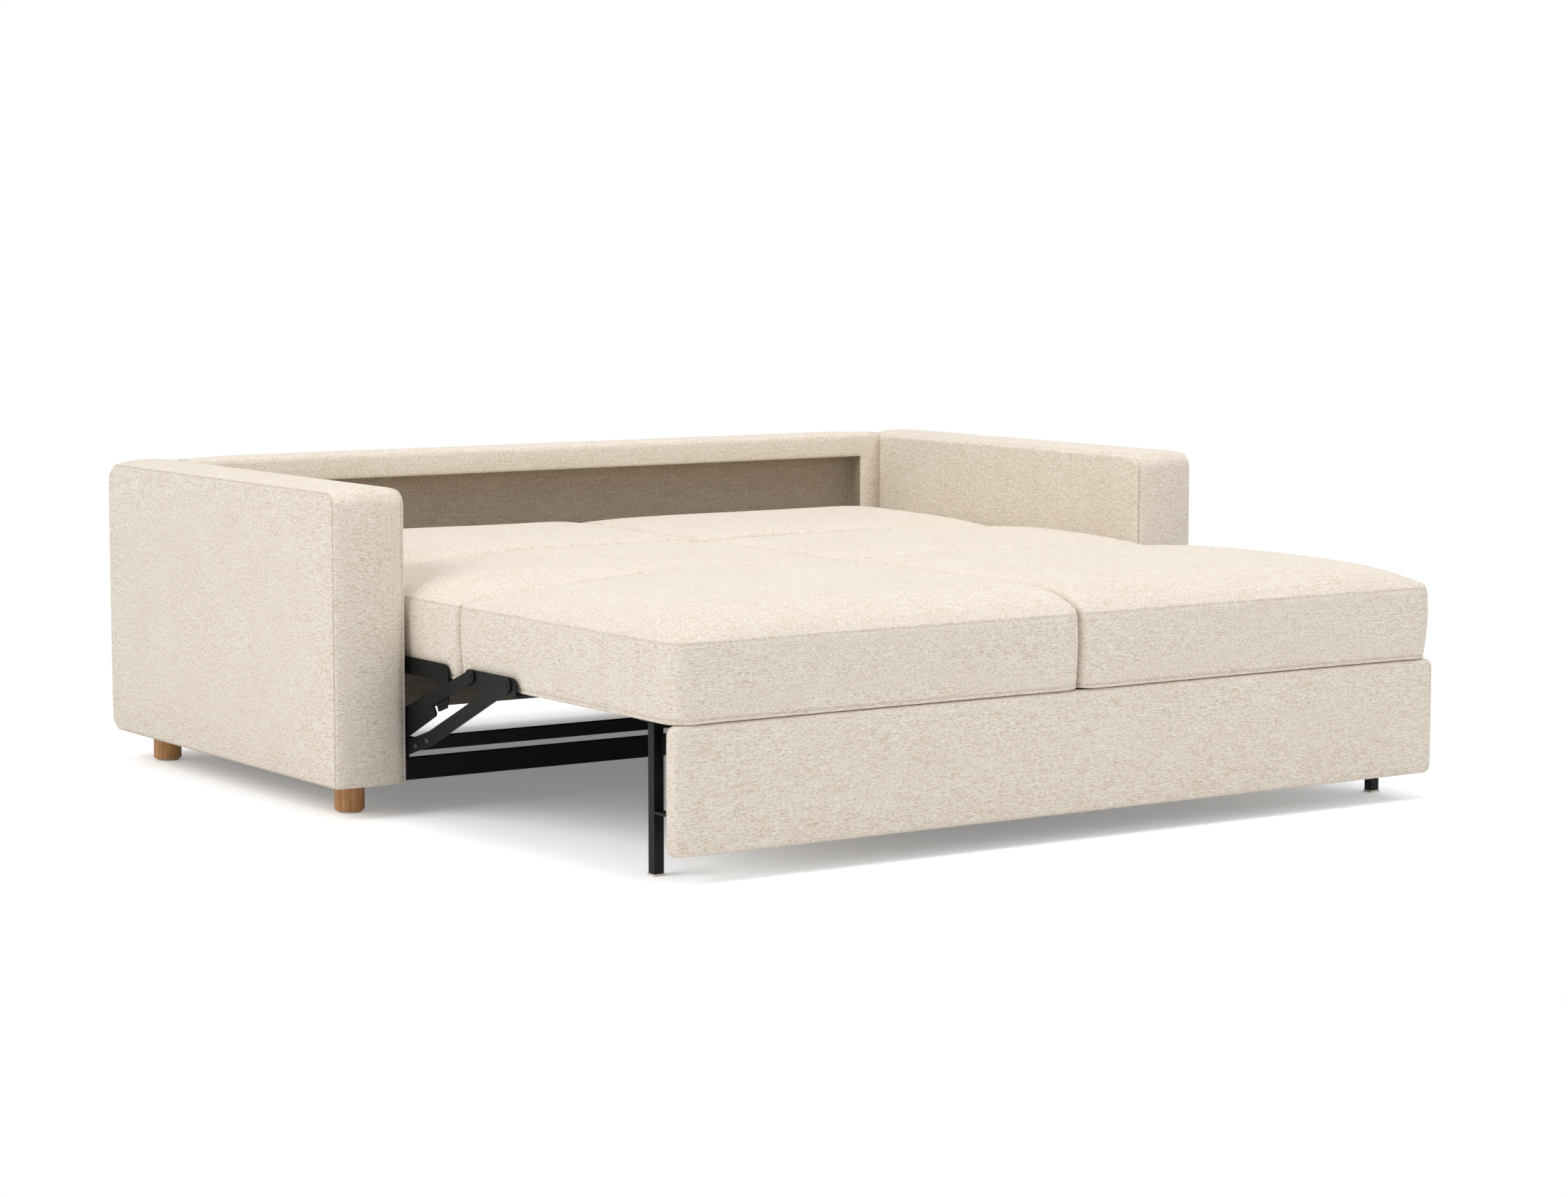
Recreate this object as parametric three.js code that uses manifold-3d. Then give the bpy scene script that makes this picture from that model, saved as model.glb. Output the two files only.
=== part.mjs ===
// Sleeper sofa with a pull-out bed, shown opened flat.
// Millimetres, +Z up, +X to the sitter's left-hand arm, +Y towards the back.
// Inside this file y = 0 is the front of the arms. The whole group is moved at the
// end so that the origin is the centre of the footprint, on the floor.
//
// The bed is a chain of three sections. The rear one is hinged to the arms, the
// middle one to the rear one, and the seat to the middle one. Both hinge arms are
// equally long, so the seat rolls level while the other two fold up behind it.

import * as THREE from 'three';
import { mergeVertices } from 'three/addons/utils/BufferGeometryUtils.js';
import Module from 'manifold-3d';

const wasm = await Module();
wasm.setup();

// Driving dimensions
const sofaWidth = 2150;
const sofaDepth = 1070;
const frameHeight = 649;
const floorGap = 64;
const armWidth = 158;
const backThickness = 84;
const contactGap = 0.3;
const cutOverrun = 10;

// Arm upholstery
const armCrown = 9;
const armCrownRun = 58;
const armFrontRadius = 32;
const armRearTopRadius = 46;
const armRearFootRadius = 35;
const armFrontFootRadius = 10;

// Back upholstery and its niche
const backTopRearRadius = 34;
const backTopFrontRadius = 12;
const backFootRadius = 6;
const nicheDepth = 58;
const nicheStile = 57;
const nicheTopRail = 60;
const nicheRise = 16;
const nicheRadius = 8;

// Wooden feet
const footRadius = 30;
const footInset = 88;
const footFrontY = 120;
const footRearInset = 100;
const footChamfer = 2.5;
const glideHeight = 4;
const glideRadius = 24;

// Base rail between the arms
const baseRailY = 100;
const baseRailThickness = 20;
const baseRailBottom = 57;
const baseRailHeight = 43;
const baseEarDepth = 60;
const baseEarThickness = 5;

// Bed plan and heights
const bedSideGap = 10;
const bedFrontY = -949;
const seatSeamY = -179;
const rearPivotSetback = 50;
const bedBackGap = 7;
const seamGap = 3;
const cushionBottom = 284;
const cushionWall = 150;
const foldTopRise = 1;

// Cushion form
const rearCrown = 48;
const middleCrown = 44;
const seatCrown = 45;
const cushionDrawIn = 5;
const cushionCornerRadius = 13;
const seatCornerRadius = 46;
const cushionLowerRound = 8;
const cushionUpperRound = 7;
const cushionSeamDepth = 1.4;
const cushionSeamHeight = 5;
const crownPower = 6;
const crownRingShares = [0.975, 0.92, 0.83, 0.68, 0.4];

// Section frames of square steel tube
const frameTube = 21.7;
const frameSideInset = 97;
const frameEndSetback = 2.8;
const frameFrontSetback = 30;
const slatWidth = 24;
const slatHeight = 12;
const seatSlatCount = 5;
const shortSlatCount = 4;

// Hinges between the sections
const foldBottomDrop = 6;
const hingeSideInset = 451;
const hingeLeaf = 2.2;
const hingeBarrelRadius = 5;
const hingePinRadius = 2.5;
const hingeClearance = 0.3;
const hingeKnuckle = 24;
const hingeOuterKnuckle = 18;
const hingeFaceGap = 0.3;

// Pivot plates at the rear of the bed
const pivotPlateThickness = 2.8;
const pivotPlateSideGap = 0.6;
const pivotPlateDepth = 24;
const pivotPinRadius = 5;
const pivotFlangeRadius = 9;
const pivotFlangeThickness = 0.9;
const pivotFootThickness = 4;
const pivotFootDrop = 5;

// Front panel
const panelThickness = 28;
const panelBottom = 51;
const panelTopGap = 3;
const panelRound = 9;
const panelCornerRadius = 14;

// Front legs of square steel tube
const legTube = 20;
const legSideInset = 35;
const legFrontInset = 119;
const legGlideHeight = 4;
const legGlideMargin = 1.5;
const legFlat = 5;
const legLowerFlatZ = 113;
const legUpperPlateBottom = 221;
const legUpperPlateHeight = 35;
const legTopPlate = 5;
const legTopPlateMargin = 12;

// Linkage plates and bars
const barThickness = 4;
const layerSideGap = 0.6;
const sidePlateDrop = 4;
const sidePlateHeight = 34;
const sidePlateRound = 18;
const seatPlateSetback = 35;
const seatPlateLength = 195;
const middlePlateSetback = 30;
const middlePlateLength = 269;
const frontBarWidth = 28;
const frontBarTopInset = 29;
const frontBarTopRise = 19;
const frontBarKinkReach = 112;
const frontBarKinkRise = 26.5;
const frontBarEndDrop = 8.5;
const frontRivetShare = 0.15;
const rearRivetShare = 0.56;
const rearBarWidth = 25;
const rearBarTopInset = 29;
const rearBarTopRise = 21;
const rearBarEndReach = 71;
const rearBarEndRise = 31.5;
const rearBarStepReach = 115;
const rearBarStepRise = 73.5;
const rearBarStepLean = 21;
const rearBarStepRound = 6;
const rearBarFootDrop = 23.5;
const stopArmWidth = 34;
const stopArmDrop = 61;
const stopArmShoulderDrop = 28;
const stopArmLean = 8;
const stopArmToeRise = 10;
const stopArmHeelRise = 9;
const stopArmHeelReach = 5;
const rivetRadius = 5.5;
const rivetHeight = 0.8;

// Roller carriage and its track
const carriageTube = 24.5;
const carriageTubeY = 27;
const carriageTubeZ = 138.5;
const gussetFrontReach = 11;
const gussetRearReach = 69;
const gussetDrop = 20.5;
const gussetRise = 37.5;
const hangerSetback = 33;
const hangerLength = 155;
const hangerRailGap = 2;
const rollerRadius = 9;
const rollerWidth = 10;
const rollerFrontInset = 70;
const rollerRearInset = 15;
const rollerGap = 0.4;
const rollerSideGap = 2.5;
const rollerRimChamfer = 1;
const axleRadius = 4;
const axleClearance = 0.3;
const axleOverhang = 0.6;
const axleEndGap = 1.2;
const trackArmGap = 11.7;
const trackRailGap = 0.4;
const trackWall = 2.5;
const trackSideGap = 1;
const trackSetback = 35;

// Counts of facets
const arcSteps = 5;
const roundSides = 24;
const smallSides = 12;
const cornerSteps = 4;
const sideSteps = 6;

// A bar's end corner takes nearly half its width, so the two corners make a half circle
const endRoundShare = 0.98;

// Places worked out from the dimensions
const armInnerX = sofaWidth / 2 - armWidth;
const bedHalfWidth = armInnerX - bedSideGap;
const frameHalfWidth = bedHalfWidth - frameSideInset;
const hingePlaceX = bedHalfWidth - hingeSideInset;
const legOuterX = bedHalfWidth - legSideInset;
const legFrontY = bedFrontY + legFrontInset;
const backFrontY = sofaDepth - backThickness;
const footRearY = sofaDepth - footRearInset;
const bedRearY = backFrontY - bedBackGap;
const rearPivotY = backFrontY - rearPivotSetback;
const crestY = (rearPivotY + seatSeamY) / 2;
const cushionEdge = cushionBottom + cushionWall;
const foldTopZ = cushionEdge + foldTopRise;
const nicheBottom = cushionBottom + nicheRise;
const panelTop = cushionBottom - panelTopGap;
const frameTopZ = cushionBottom - contactGap;
const frameBottomZ = frameTopZ - frameTube;
const foldBottomZ = frameBottomZ - foldBottomDrop;
const innerLayerX = bedHalfWidth + layerSideGap;
const outerLayerX = innerLayerX + barThickness + contactGap;
const sidePlateBottom = cushionBottom - sidePlateDrop;
const sidePlateTop = sidePlateBottom + sidePlateHeight;
const seatPlateRearY = seatSeamY - seatPlateSetback;
const seatPlateFrontY = seatPlateRearY - seatPlateLength;
const middlePlateFrontY = seatSeamY + middlePlateSetback;
const middlePlateRearY = middlePlateFrontY + middlePlateLength;
const frontBarTopY = seatPlateFrontY + frontBarTopInset;
const frontBarTopZ = sidePlateBottom + frontBarTopRise;
const frontBarKinkY = carriageTubeY - frontBarKinkReach;
const frontBarKinkZ = carriageTubeZ + frontBarKinkRise;
const frontBarEndY = carriageTubeY;
const frontBarEndZ = carriageTubeZ - frontBarEndDrop;
const rearBarTopY = seatPlateRearY - rearBarTopInset;
const rearBarTopZ = sidePlateBottom + rearBarTopRise;
const rearBarEndY = carriageTubeY + rearBarEndReach;
const rearBarEndZ = carriageTubeZ + rearBarEndRise;
const rearBarStepY = carriageTubeY - rearBarStepReach;
const rearBarStepZ = carriageTubeZ + rearBarStepRise;
const rearBarFootZ = carriageTubeZ - rearBarFootDrop;
const trackOuterX = armInnerX - trackArmGap;
const trackWebX = trackOuterX - trackWall;
const trackFrontY = carriageTubeY + trackSetback;
const hangerX = trackWebX - axleEndGap - axleOverhang - rollerWidth - rollerSideGap - barThickness;
const hangerFrontY = carriageTubeY + hangerSetback;
const hangerRearY = hangerFrontY + hangerLength;
const rollerFrontY = hangerFrontY + rollerFrontInset;
const rollerRearY = hangerRearY - rollerRearInset;
const baseRailTop = baseRailBottom + baseRailHeight;
const hangerBottomZ = baseRailTop + hangerRailGap;
const rollerZ = baseRailTop + trackRailGap + trackWall + rollerGap + rollerRadius;
const footprintShift = -(sofaDepth + bedFrontY) / 2;

// Materials, with the colour and gloss of the real finishes
const cloth = new THREE.MeshStandardMaterial({ color: '#d9cdbd', roughness: 0.95, metalness: 0 });
const oak = new THREE.MeshStandardMaterial({ color: '#b07d4a', roughness: 0.55, metalness: 0 });
const blackSteel = new THREE.MeshStandardMaterial({ color: '#1f2022', roughness: 0.5, metalness: 0.6 });
const zincSteel = new THREE.MeshStandardMaterial({ color: '#8d9094', roughness: 0.4, metalness: 0.9 });
const palePlastic = new THREE.MeshStandardMaterial({ color: '#d8d4c8', roughness: 0.6, metalness: 0 });
const blackPlastic = new THREE.MeshStandardMaterial({ color: '#2a2a2b', roughness: 0.7, metalness: 0 });

// Turns a closed three.js geometry into a solid that can be cut and joined.
function solidOf(geometry) {
  const bare = geometry.clone();
  bare.deleteAttribute('normal');
  bare.deleteAttribute('uv');
  const welded = mergeVertices(bare, 1e-4);
  return new wasm.Manifold(new wasm.Mesh({
    numProp: 3,
    vertProperties: new Float32Array(welded.attributes.position.array),
    triVerts: new Uint32Array(welded.index.array),
  }));
}

// Turns a solid back into a three.js geometry.
function geometryOf(solid) {
  const mesh = solid.getMesh();
  const geometry = new THREE.BufferGeometry();
  geometry.setAttribute('position', new THREE.BufferAttribute(mesh.vertProperties, 3));
  geometry.setIndex(new THREE.BufferAttribute(mesh.triVerts, 1));
  return geometry;
}

// A box between two corners.
function boxBetween(x0, x1, y0, y1, z0, z1) {
  const box = new THREE.BoxGeometry(x1 - x0, y1 - y0, z1 - z0);
  box.translate((x0 + x1) / 2, (y0 + y1) / 2, (z0 + z1) / 2);
  return solidOf(box);
}

// A cylinder along X between two places.
function rodAlongX(x0, x1, y, z, radius, sides) {
  const rod = new THREE.CylinderGeometry(radius, radius, x1 - x0, sides);
  rod.rotateZ(Math.PI / 2);
  rod.translate((x0 + x1) / 2, y, z);
  return solidOf(rod);
}

// An outline with its corners rounded; each point is [u, v, radius].
function roundedShape(points) {
  const shape = new THREE.Shape();
  const count = points.length;
  points.forEach(([u, v, radius], index) => {
    const before = new THREE.Vector2(...points[(index + count - 1) % count]);
    const after = new THREE.Vector2(...points[(index + 1) % count]);
    const corner = new THREE.Vector2(u, v);
    const toBefore = before.sub(corner).normalize();
    const toAfter = after.sub(corner).normalize();
    const halfAngle = Math.acos(toBefore.dot(toAfter)) / 2;
    const reach = radius / Math.tan(halfAngle);
    const start = corner.clone().addScaledVector(toBefore, reach);
    const end = corner.clone().addScaledVector(toAfter, reach);
    const middle = toBefore.clone().add(toAfter).normalize();
    const centre = corner.clone().addScaledVector(middle, radius / Math.sin(halfAngle));
    const steps = radius > 0 ? arcSteps : 0;
    const from = start.clone().sub(centre).angle();
    let turn = end.clone().sub(centre).angle() - from;
    if (turn > Math.PI) turn -= 2 * Math.PI;
    if (turn < -Math.PI) turn += 2 * Math.PI;
    for (let step = 0; step <= steps; step += 1) {
      const angle = from + turn * (steps ? step / steps : 0);
      const point = steps
        ? new THREE.Vector2(centre.x + radius * Math.cos(angle), centre.y + radius * Math.sin(angle))
        : corner;
      if (index === 0 && step === 0) shape.moveTo(point.x, point.y);
      else shape.lineTo(point.x, point.y);
    }
  });
  shape.closePath();
  return shape;
}

// Extrudes an outline drawn in (y, z) along X, with an optional swelling between its faces.
function extrudeAlongX(shape, x0, x1, swell = 0, swellRun = 0) {
  const geometry = new THREE.ExtrudeGeometry(shape, {
    depth: x1 - x0 - 2 * swellRun,
    bevelEnabled: swell > 0,
    bevelSize: swell,
    bevelThickness: swellRun,
    bevelOffset: -swell,
    bevelSegments: arcSteps,
    steps: 1,
  });
  geometry.translate(0, 0, x0 + swellRun);
  const turn = new THREE.Matrix4().makeBasis(
    new THREE.Vector3(0, 1, 0), new THREE.Vector3(0, 0, 1), new THREE.Vector3(1, 0, 0));
  geometry.applyMatrix4(turn);
  return solidOf(geometry);
}

// A flat bar with round ends through a list of [y, z] points, lying in a plane of constant X.
// It is one outline: both long sides, mitred at the bends, with a half circle at each end.
function roundEndedBar(x0, x1, points, width) {
  const half = width / 2;
  const places = points.map(([y, z]) => new THREE.Vector2(y, z));
  const runs = places.slice(1).map((place, index) => place.clone().sub(places[index]).normalize());
  const normals = runs.map((run) => new THREE.Vector2(-run.y, run.x));
  const endRound = half * endRoundShare;
  const upper = [];
  const lower = [];
  places.forEach((place, index) => {
    const before = normals[Math.max(index - 1, 0)];
    const after = normals[Math.min(index, normals.length - 1)];
    const mitre = before.clone().add(after).normalize();
    const reach = half / mitre.dot(after);
    const centre = place.clone();
    if (index === 0) centre.addScaledVector(runs[0], -half);
    if (index === places.length - 1) centre.addScaledVector(runs[runs.length - 1], half);
    const isEnd = index === 0 || index === places.length - 1;
    const radius = isEnd ? endRound : 0;
    upper.push([centre.x + mitre.x * reach, centre.y + mitre.y * reach, radius]);
    lower.unshift([centre.x - mitre.x * reach, centre.y - mitre.y * reach, radius]);
  });
  return extrudeAlongX(roundedShape([...upper, ...lower]), x0, x1);
}

// The mirror image in the plane x = 0.
function mirrored(solid) {
  return solid.mirror([1, 0, 0]);
}

const sofa = new THREE.Group();
const bodies = {};
for (const name of ['frame', 'rear', 'middle', 'seat']) {
  bodies[name] = new THREE.Group();
  sofa.add(bodies[name]);
}

// Adds one named piece to a body of the sofa.
function addPiece(body, name, solid, material) {
  const mesh = new THREE.Mesh(geometryOf(solid), material);
  mesh.name = name;
  bodies[body].add(mesh);
}

// Adds a right-hand piece, made on the +X side, and its mirror image on the left.
function addPair(body, name, solid, material) {
  addPiece(body, `${name}_right`, solid, material);
  addPiece(body, `${name}_left`, mirrored(solid), material);
}

// Upholstered arm: a side outline that swells a little across its width, cut flat below.
function makeArm() {
  const bottom = floorGap - armCrown;
  const outline = roundedShape([
    [0, bottom, armFrontFootRadius],
    [sofaDepth, bottom, armRearFootRadius],
    [sofaDepth, frameHeight, armRearTopRadius],
    [0, frameHeight, armFrontRadius],
  ]);
  const arm = extrudeAlongX(outline, armInnerX, armInnerX + armWidth, armCrown, armCrownRun);
  const below = boxBetween(armInnerX - cutOverrun, armInnerX + armWidth + cutOverrun,
    -cutOverrun, sofaDepth + cutOverrun, bottom - cutOverrun, floorGap);
  return arm.subtract(below);
}

// Upholstered back between the arms, with the niche that takes the folded rear cushions.
function makeBack() {
  const halfWidth = armInnerX - contactGap;
  const outline = roundedShape([
    [backFrontY, floorGap, backFootRadius],
    [sofaDepth - contactGap, floorGap, backFootRadius],
    [sofaDepth - contactGap, frameHeight, backTopRearRadius],
    [backFrontY, frameHeight, backTopFrontRadius],
  ]);
  const back = extrudeAlongX(outline, -halfWidth, halfWidth);
  const nicheHalfWidth = armInnerX - nicheStile;
  const nicheTop = frameHeight - nicheTopRail;
  const mouth = new THREE.ExtrudeGeometry(roundedShape([
    [-nicheHalfWidth, nicheBottom, nicheRadius],
    [nicheHalfWidth, nicheBottom, nicheRadius],
    [nicheHalfWidth, nicheTop, nicheRadius],
    [-nicheHalfWidth, nicheTop, nicheRadius],
  ]), { depth: nicheDepth + cutOverrun, bevelEnabled: false, steps: 1 });
  mouth.rotateX(Math.PI / 2);
  mouth.translate(0, backFrontY + nicheDepth, 0);
  return back.subtract(solidOf(mouth));
}

// Turned wooden foot and its round glide.
function turnedDisc(radius, bottom, top, chamfer, x, y) {
  const profile = [
    new THREE.Vector2(0, bottom),
    new THREE.Vector2(radius - chamfer, bottom),
    new THREE.Vector2(radius, bottom + chamfer),
    new THREE.Vector2(radius, top - chamfer),
    new THREE.Vector2(radius - chamfer, top),
    new THREE.Vector2(0, top),
  ];
  const disc = new THREE.LatheGeometry(profile, roundSides);
  disc.rotateX(Math.PI / 2);
  disc.translate(x, y, 0);
  return solidOf(disc);
}

function makeFeet() {
  const x = sofaWidth / 2 - footInset;
  for (const [place, y] of [['front', footFrontY], ['rear', footRearY]]) {
    const foot = turnedDisc(footRadius, glideHeight + contactGap, floorGap - contactGap, footChamfer, x, y);
    addPair('frame', `foot_${place}`, foot, oak);
    const glide = turnedDisc(glideRadius, 0, glideHeight, glideHeight / 4, x, y);
    addPair('frame', `foot_glide_${place}`, glide, palePlastic);
  }
}

// Steel rail that ties the arms together at the front, with an ear bolted to each arm.
function makeBaseRail() {
  const end = armInnerX - contactGap;
  const top = baseRailTop;
  const bar = boxBetween(-end, end, baseRailY - baseRailThickness / 2, baseRailY + baseRailThickness / 2,
    baseRailBottom, top);
  const ear = boxBetween(end - baseEarThickness, end,
    baseRailY - baseEarDepth / 2, baseRailY + baseEarDepth / 2, baseRailBottom, top);
  return bar.add(ear).add(mirrored(ear));
}

// Outline of a cushion: a rectangle with four corner radii whose sides draw in between the corners.
function cushionOutline(x0, x1, y0, y1, radii, inset) {
  const corners = [
    [x0, y0, 1, 1, Math.PI],
    [x1, y0, -1, 1, 1.5 * Math.PI],
    [x1, y1, -1, -1, 0],
    [x0, y1, 1, -1, 0.5 * Math.PI],
  ];
  const points = [];
  corners.forEach(([x, y, inX, inY, startAngle], index) => {
    const radius = Math.max(radii[index] - inset, cushionSeamDepth);
    const offset = inset + radius;
    const centre = new THREE.Vector2(x + inX * offset, y + inY * offset);
    for (let step = 0; step <= cornerSteps; step += 1) {
      const angle = startAngle + (step / cornerSteps) * Math.PI / 2;
      points.push(new THREE.Vector2(
        centre.x + radius * Math.cos(angle), centre.y + radius * Math.sin(angle)));
    }
    const [nextX, nextY, nextInX, nextInY, nextAngle] = corners[(index + 1) % corners.length];
    const nextRadius = Math.max(radii[(index + 1) % corners.length] - inset, cushionSeamDepth);
    const next = new THREE.Vector2(
      nextX + nextInX * (inset + nextRadius) + nextRadius * Math.cos(nextAngle),
      nextY + nextInY * (inset + nextRadius) + nextRadius * Math.sin(nextAngle));
    const from = points[points.length - 1].clone();
    const inward = new THREE.Vector2(from.y - next.y, next.x - from.x).normalize();
    for (let step = 1; step < sideSteps; step += 1) {
      const share = step / sideSteps;
      const draw = cushionDrawIn * 4 * share * (1 - share);
      points.push(from.clone().lerp(next, share).addScaledVector(inward, draw));
    }
  });
  return points;
}

// A mattress cushion: rings from the flat underside up its sides, over a sewn top edge,
// and then shrinking towards the middle of the crown.
function makeCushion(x0, x1, y0, y1, radii, crown) {
  const rings = [
    [cushionLowerRound, cushionBottom],
    [cushionLowerRound / 4, cushionBottom + cushionLowerRound / 3],
    [0, cushionBottom + cushionLowerRound],
    [0, (cushionBottom + cushionEdge) / 2],
    [0, cushionEdge - cushionUpperRound - cushionSeamHeight],
    [cushionSeamDepth, cushionEdge - cushionUpperRound],
    [0, cushionEdge - cushionUpperRound + cushionSeamHeight / 2],
    [cushionUpperRound, cushionEdge],
  ].map(([inset, z]) => cushionOutline(x0, x1, y0, y1, radii, inset)
    .map((point) => [point.x, point.y, z]));
  const centre = [(x0 + x1) / 2, (y0 + y1) / 2];
  const rim = rings[rings.length - 1];
  for (const share of crownRingShares) {
    const z = cushionEdge + crown * (1 - share ** crownPower);
    rings.push(rim.map(([x, y]) => [
      centre[0] + share * (x - centre[0]), centre[1] + share * (y - centre[1]), z]));
  }
  const count = rim.length;
  const positions = rings.flat(2);
  const triangles = [];
  for (let ring = 0; ring + 1 < rings.length; ring += 1) {
    for (let index = 0; index < count; index += 1) {
      const a = ring * count + index;
      const b = ring * count + (index + 1) % count;
      triangles.push(a, b, b + count, a, b + count, a + count);
    }
  }
  const under = rings.length * count;
  positions.push(...centre, cushionBottom, ...centre, cushionEdge + crown);
  for (let index = 0; index < count; index += 1) {
    const next = (index + 1) % count;
    triangles.push(under, next, index);
    triangles.push(under + 1, under - count + index, under - count + next);
  }
  const geometry = new THREE.BufferGeometry();
  geometry.setAttribute('position', new THREE.Float32BufferAttribute(positions, 3));
  geometry.setIndex(triangles);
  return solidOf(geometry);
}

// Adds the left and right cushions of one section.
function addCushions(body, y0, y1, frontOuterRadius, crown) {
  const small = cushionCornerRadius;
  const cushion = makeCushion(seamGap / 2, bedHalfWidth, y0, y1, [small, frontOuterRadius, small, small], crown);
  addPair(body, `${body}_cushion`, cushion, cloth);
}

// Welded tube frame of one section, with a middle rail and flat cross slats.
function makeSectionFrame(y0, y1, slatCount) {
  const outer = boxBetween(-frameHalfWidth, frameHalfWidth, y0, y1, frameBottomZ, frameTopZ);
  const inner = boxBetween(-frameHalfWidth + frameTube, frameHalfWidth - frameTube,
    y0 + frameTube, y1 - frameTube, frameBottomZ - cutOverrun, frameTopZ + cutOverrun);
  let frame = outer.subtract(inner);
  frame = frame.add(boxBetween(-frameTube / 2, frameTube / 2, y0 + frameTube / 2, y1 - frameTube / 2,
    frameBottomZ, frameTopZ));
  const pitch = (y1 - y0) / (slatCount + 1);
  for (let slat = 1; slat <= slatCount; slat += 1) {
    const y = y0 + slat * pitch;
    frame = frame.add(boxBetween(-frameHalfWidth + frameTube / 2, frameHalfWidth - frameTube / 2,
      y - slatWidth / 2, y + slatWidth / 2, frameTopZ - slatHeight, frameTopZ));
  }
  return frame;
}

// Adds a two-leaf hinge on an axis along X. The barrel is at z = axisZ, and the leaves run
// between the two section frames to leafEndZ. The forward body has the middle knuckle.
function addHinge(name, forwardBody, rearBody, axisY, axisZ, leafEndZ) {
  const low = Math.min(axisZ, leafEndZ);
  const high = Math.max(axisZ, leafEndZ);
  const innerHalf = hingeKnuckle / 2;
  const outerHalf = innerHalf + hingeClearance + hingeOuterKnuckle;
  const barrel = (x0, x1) => rodAlongX(x0, x1, axisY, axisZ, hingeBarrelRadius, smallSides);
  const bore = rodAlongX(hingePlaceX - outerHalf - cutOverrun, hingePlaceX + outerHalf + cutOverrun,
    axisY, axisZ, hingePinRadius + hingeClearance, smallSides);
  const awayFromBarrel = leafEndZ > axisZ ? 1 : -1;
  const clearStart = axisZ + awayFromBarrel * (hingeBarrelRadius + hingeClearance);
  const clearLow = Math.min(clearStart, leafEndZ);
  const clearHigh = Math.max(clearStart, leafEndZ);
  const faceY = hingeFaceGap;
  const backY = hingeFaceGap + hingeLeaf;
  const forwardLeaf = boxBetween(hingePlaceX - innerHalf, hingePlaceX + innerHalf,
    axisY - backY, axisY - faceY, low, high)
    .add(boxBetween(hingePlaceX - outerHalf, hingePlaceX + outerHalf,
      axisY - backY, axisY - faceY, clearLow, clearHigh))
    .add(barrel(hingePlaceX - innerHalf, hingePlaceX + innerHalf));
  const outerLow = hingePlaceX - outerHalf;
  const outerHigh = hingePlaceX + outerHalf;
  const innerLow = hingePlaceX - innerHalf - hingeClearance;
  const innerHigh = hingePlaceX + innerHalf + hingeClearance;
  const rearLeaf = boxBetween(outerLow, innerLow, axisY + faceY, axisY + backY, low, high)
    .add(boxBetween(innerHigh, outerHigh, axisY + faceY, axisY + backY, low, high))
    .add(boxBetween(outerLow, outerHigh, axisY + faceY, axisY + backY, clearLow, clearHigh))
    .add(barrel(outerLow, innerLow))
    .add(barrel(innerHigh, outerHigh));
  const pin = rodAlongX(outerLow, outerHigh, axisY, axisZ, hingePinRadius, smallSides);
  addPair(forwardBody, `${name}_forward_leaf`, forwardLeaf.subtract(bore), zincSteel);
  addPair(rearBody, `${name}_rear_leaf`, rearLeaf.subtract(bore), zincSteel);
  addPair(rearBody, `${name}_pin`, pin, zincSteel);
}

// Steel plate beside the rear cushions that carries the bed on a pin in each arm.
function addRearPivots() {
  const x0 = bedHalfWidth + pivotPlateSideGap;
  const x1 = x0 + pivotPlateThickness;
  const half = pivotPlateDepth / 2;
  const footTop = frameBottomZ + frameTube - pivotFootDrop;
  const web = roundedShape([
    [rearPivotY - half, footTop - pivotFootThickness, 0],
    [rearPivotY + half, footTop - pivotFootThickness, 0],
    [rearPivotY + half, foldTopZ, 0],
    [rearPivotY - half, foldTopZ, 0],
  ]);
  const hole = rodAlongX(x0 - cutOverrun, x1 + cutOverrun, rearPivotY, foldTopZ,
    pivotPinRadius + axleClearance, roundSides);
  const plate = extrudeAlongX(web, x0, x1)
    .add(rodAlongX(x0, x1, rearPivotY, foldTopZ, half, roundSides))
    .add(boxBetween(frameHalfWidth + contactGap, x1, rearPivotY - half, rearPivotY + half,
      footTop - pivotFootThickness, footTop))
    .subtract(hole);
  addPair('rear', 'rear_pivot_plate', plate, zincSteel);
  const flangeOuter = armInnerX - contactGap;
  const pin = rodAlongX(x0 - contactGap, flangeOuter, rearPivotY, foldTopZ, pivotPinRadius, roundSides)
    .add(rodAlongX(flangeOuter - pivotFlangeThickness, flangeOuter, rearPivotY, foldTopZ,
      pivotFlangeRadius, roundSides));
  addPair('frame', 'rear_pivot_pin', pin, zincSteel);
}

// Upholstered panel below the seat, with rounded edges.
function makeFrontPanel() {
  const halfWidth = bedHalfWidth;
  const shape = roundedShape([
    [-halfWidth, panelBottom, panelCornerRadius],
    [halfWidth, panelBottom, panelCornerRadius],
    [halfWidth, panelTop, panelCornerRadius],
    [-halfWidth, panelTop, panelCornerRadius],
  ]);
  const panel = new THREE.ExtrudeGeometry(shape, {
    depth: panelThickness - 2 * panelRound,
    bevelEnabled: true,
    bevelSize: panelRound,
    bevelThickness: panelRound,
    bevelOffset: -panelRound,
    bevelSegments: cornerSteps,
    steps: 1,
  });
  panel.rotateX(Math.PI / 2);
  panel.translate(0, bedFrontY + panelThickness - panelRound, 0);
  return solidOf(panel);
}

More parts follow.
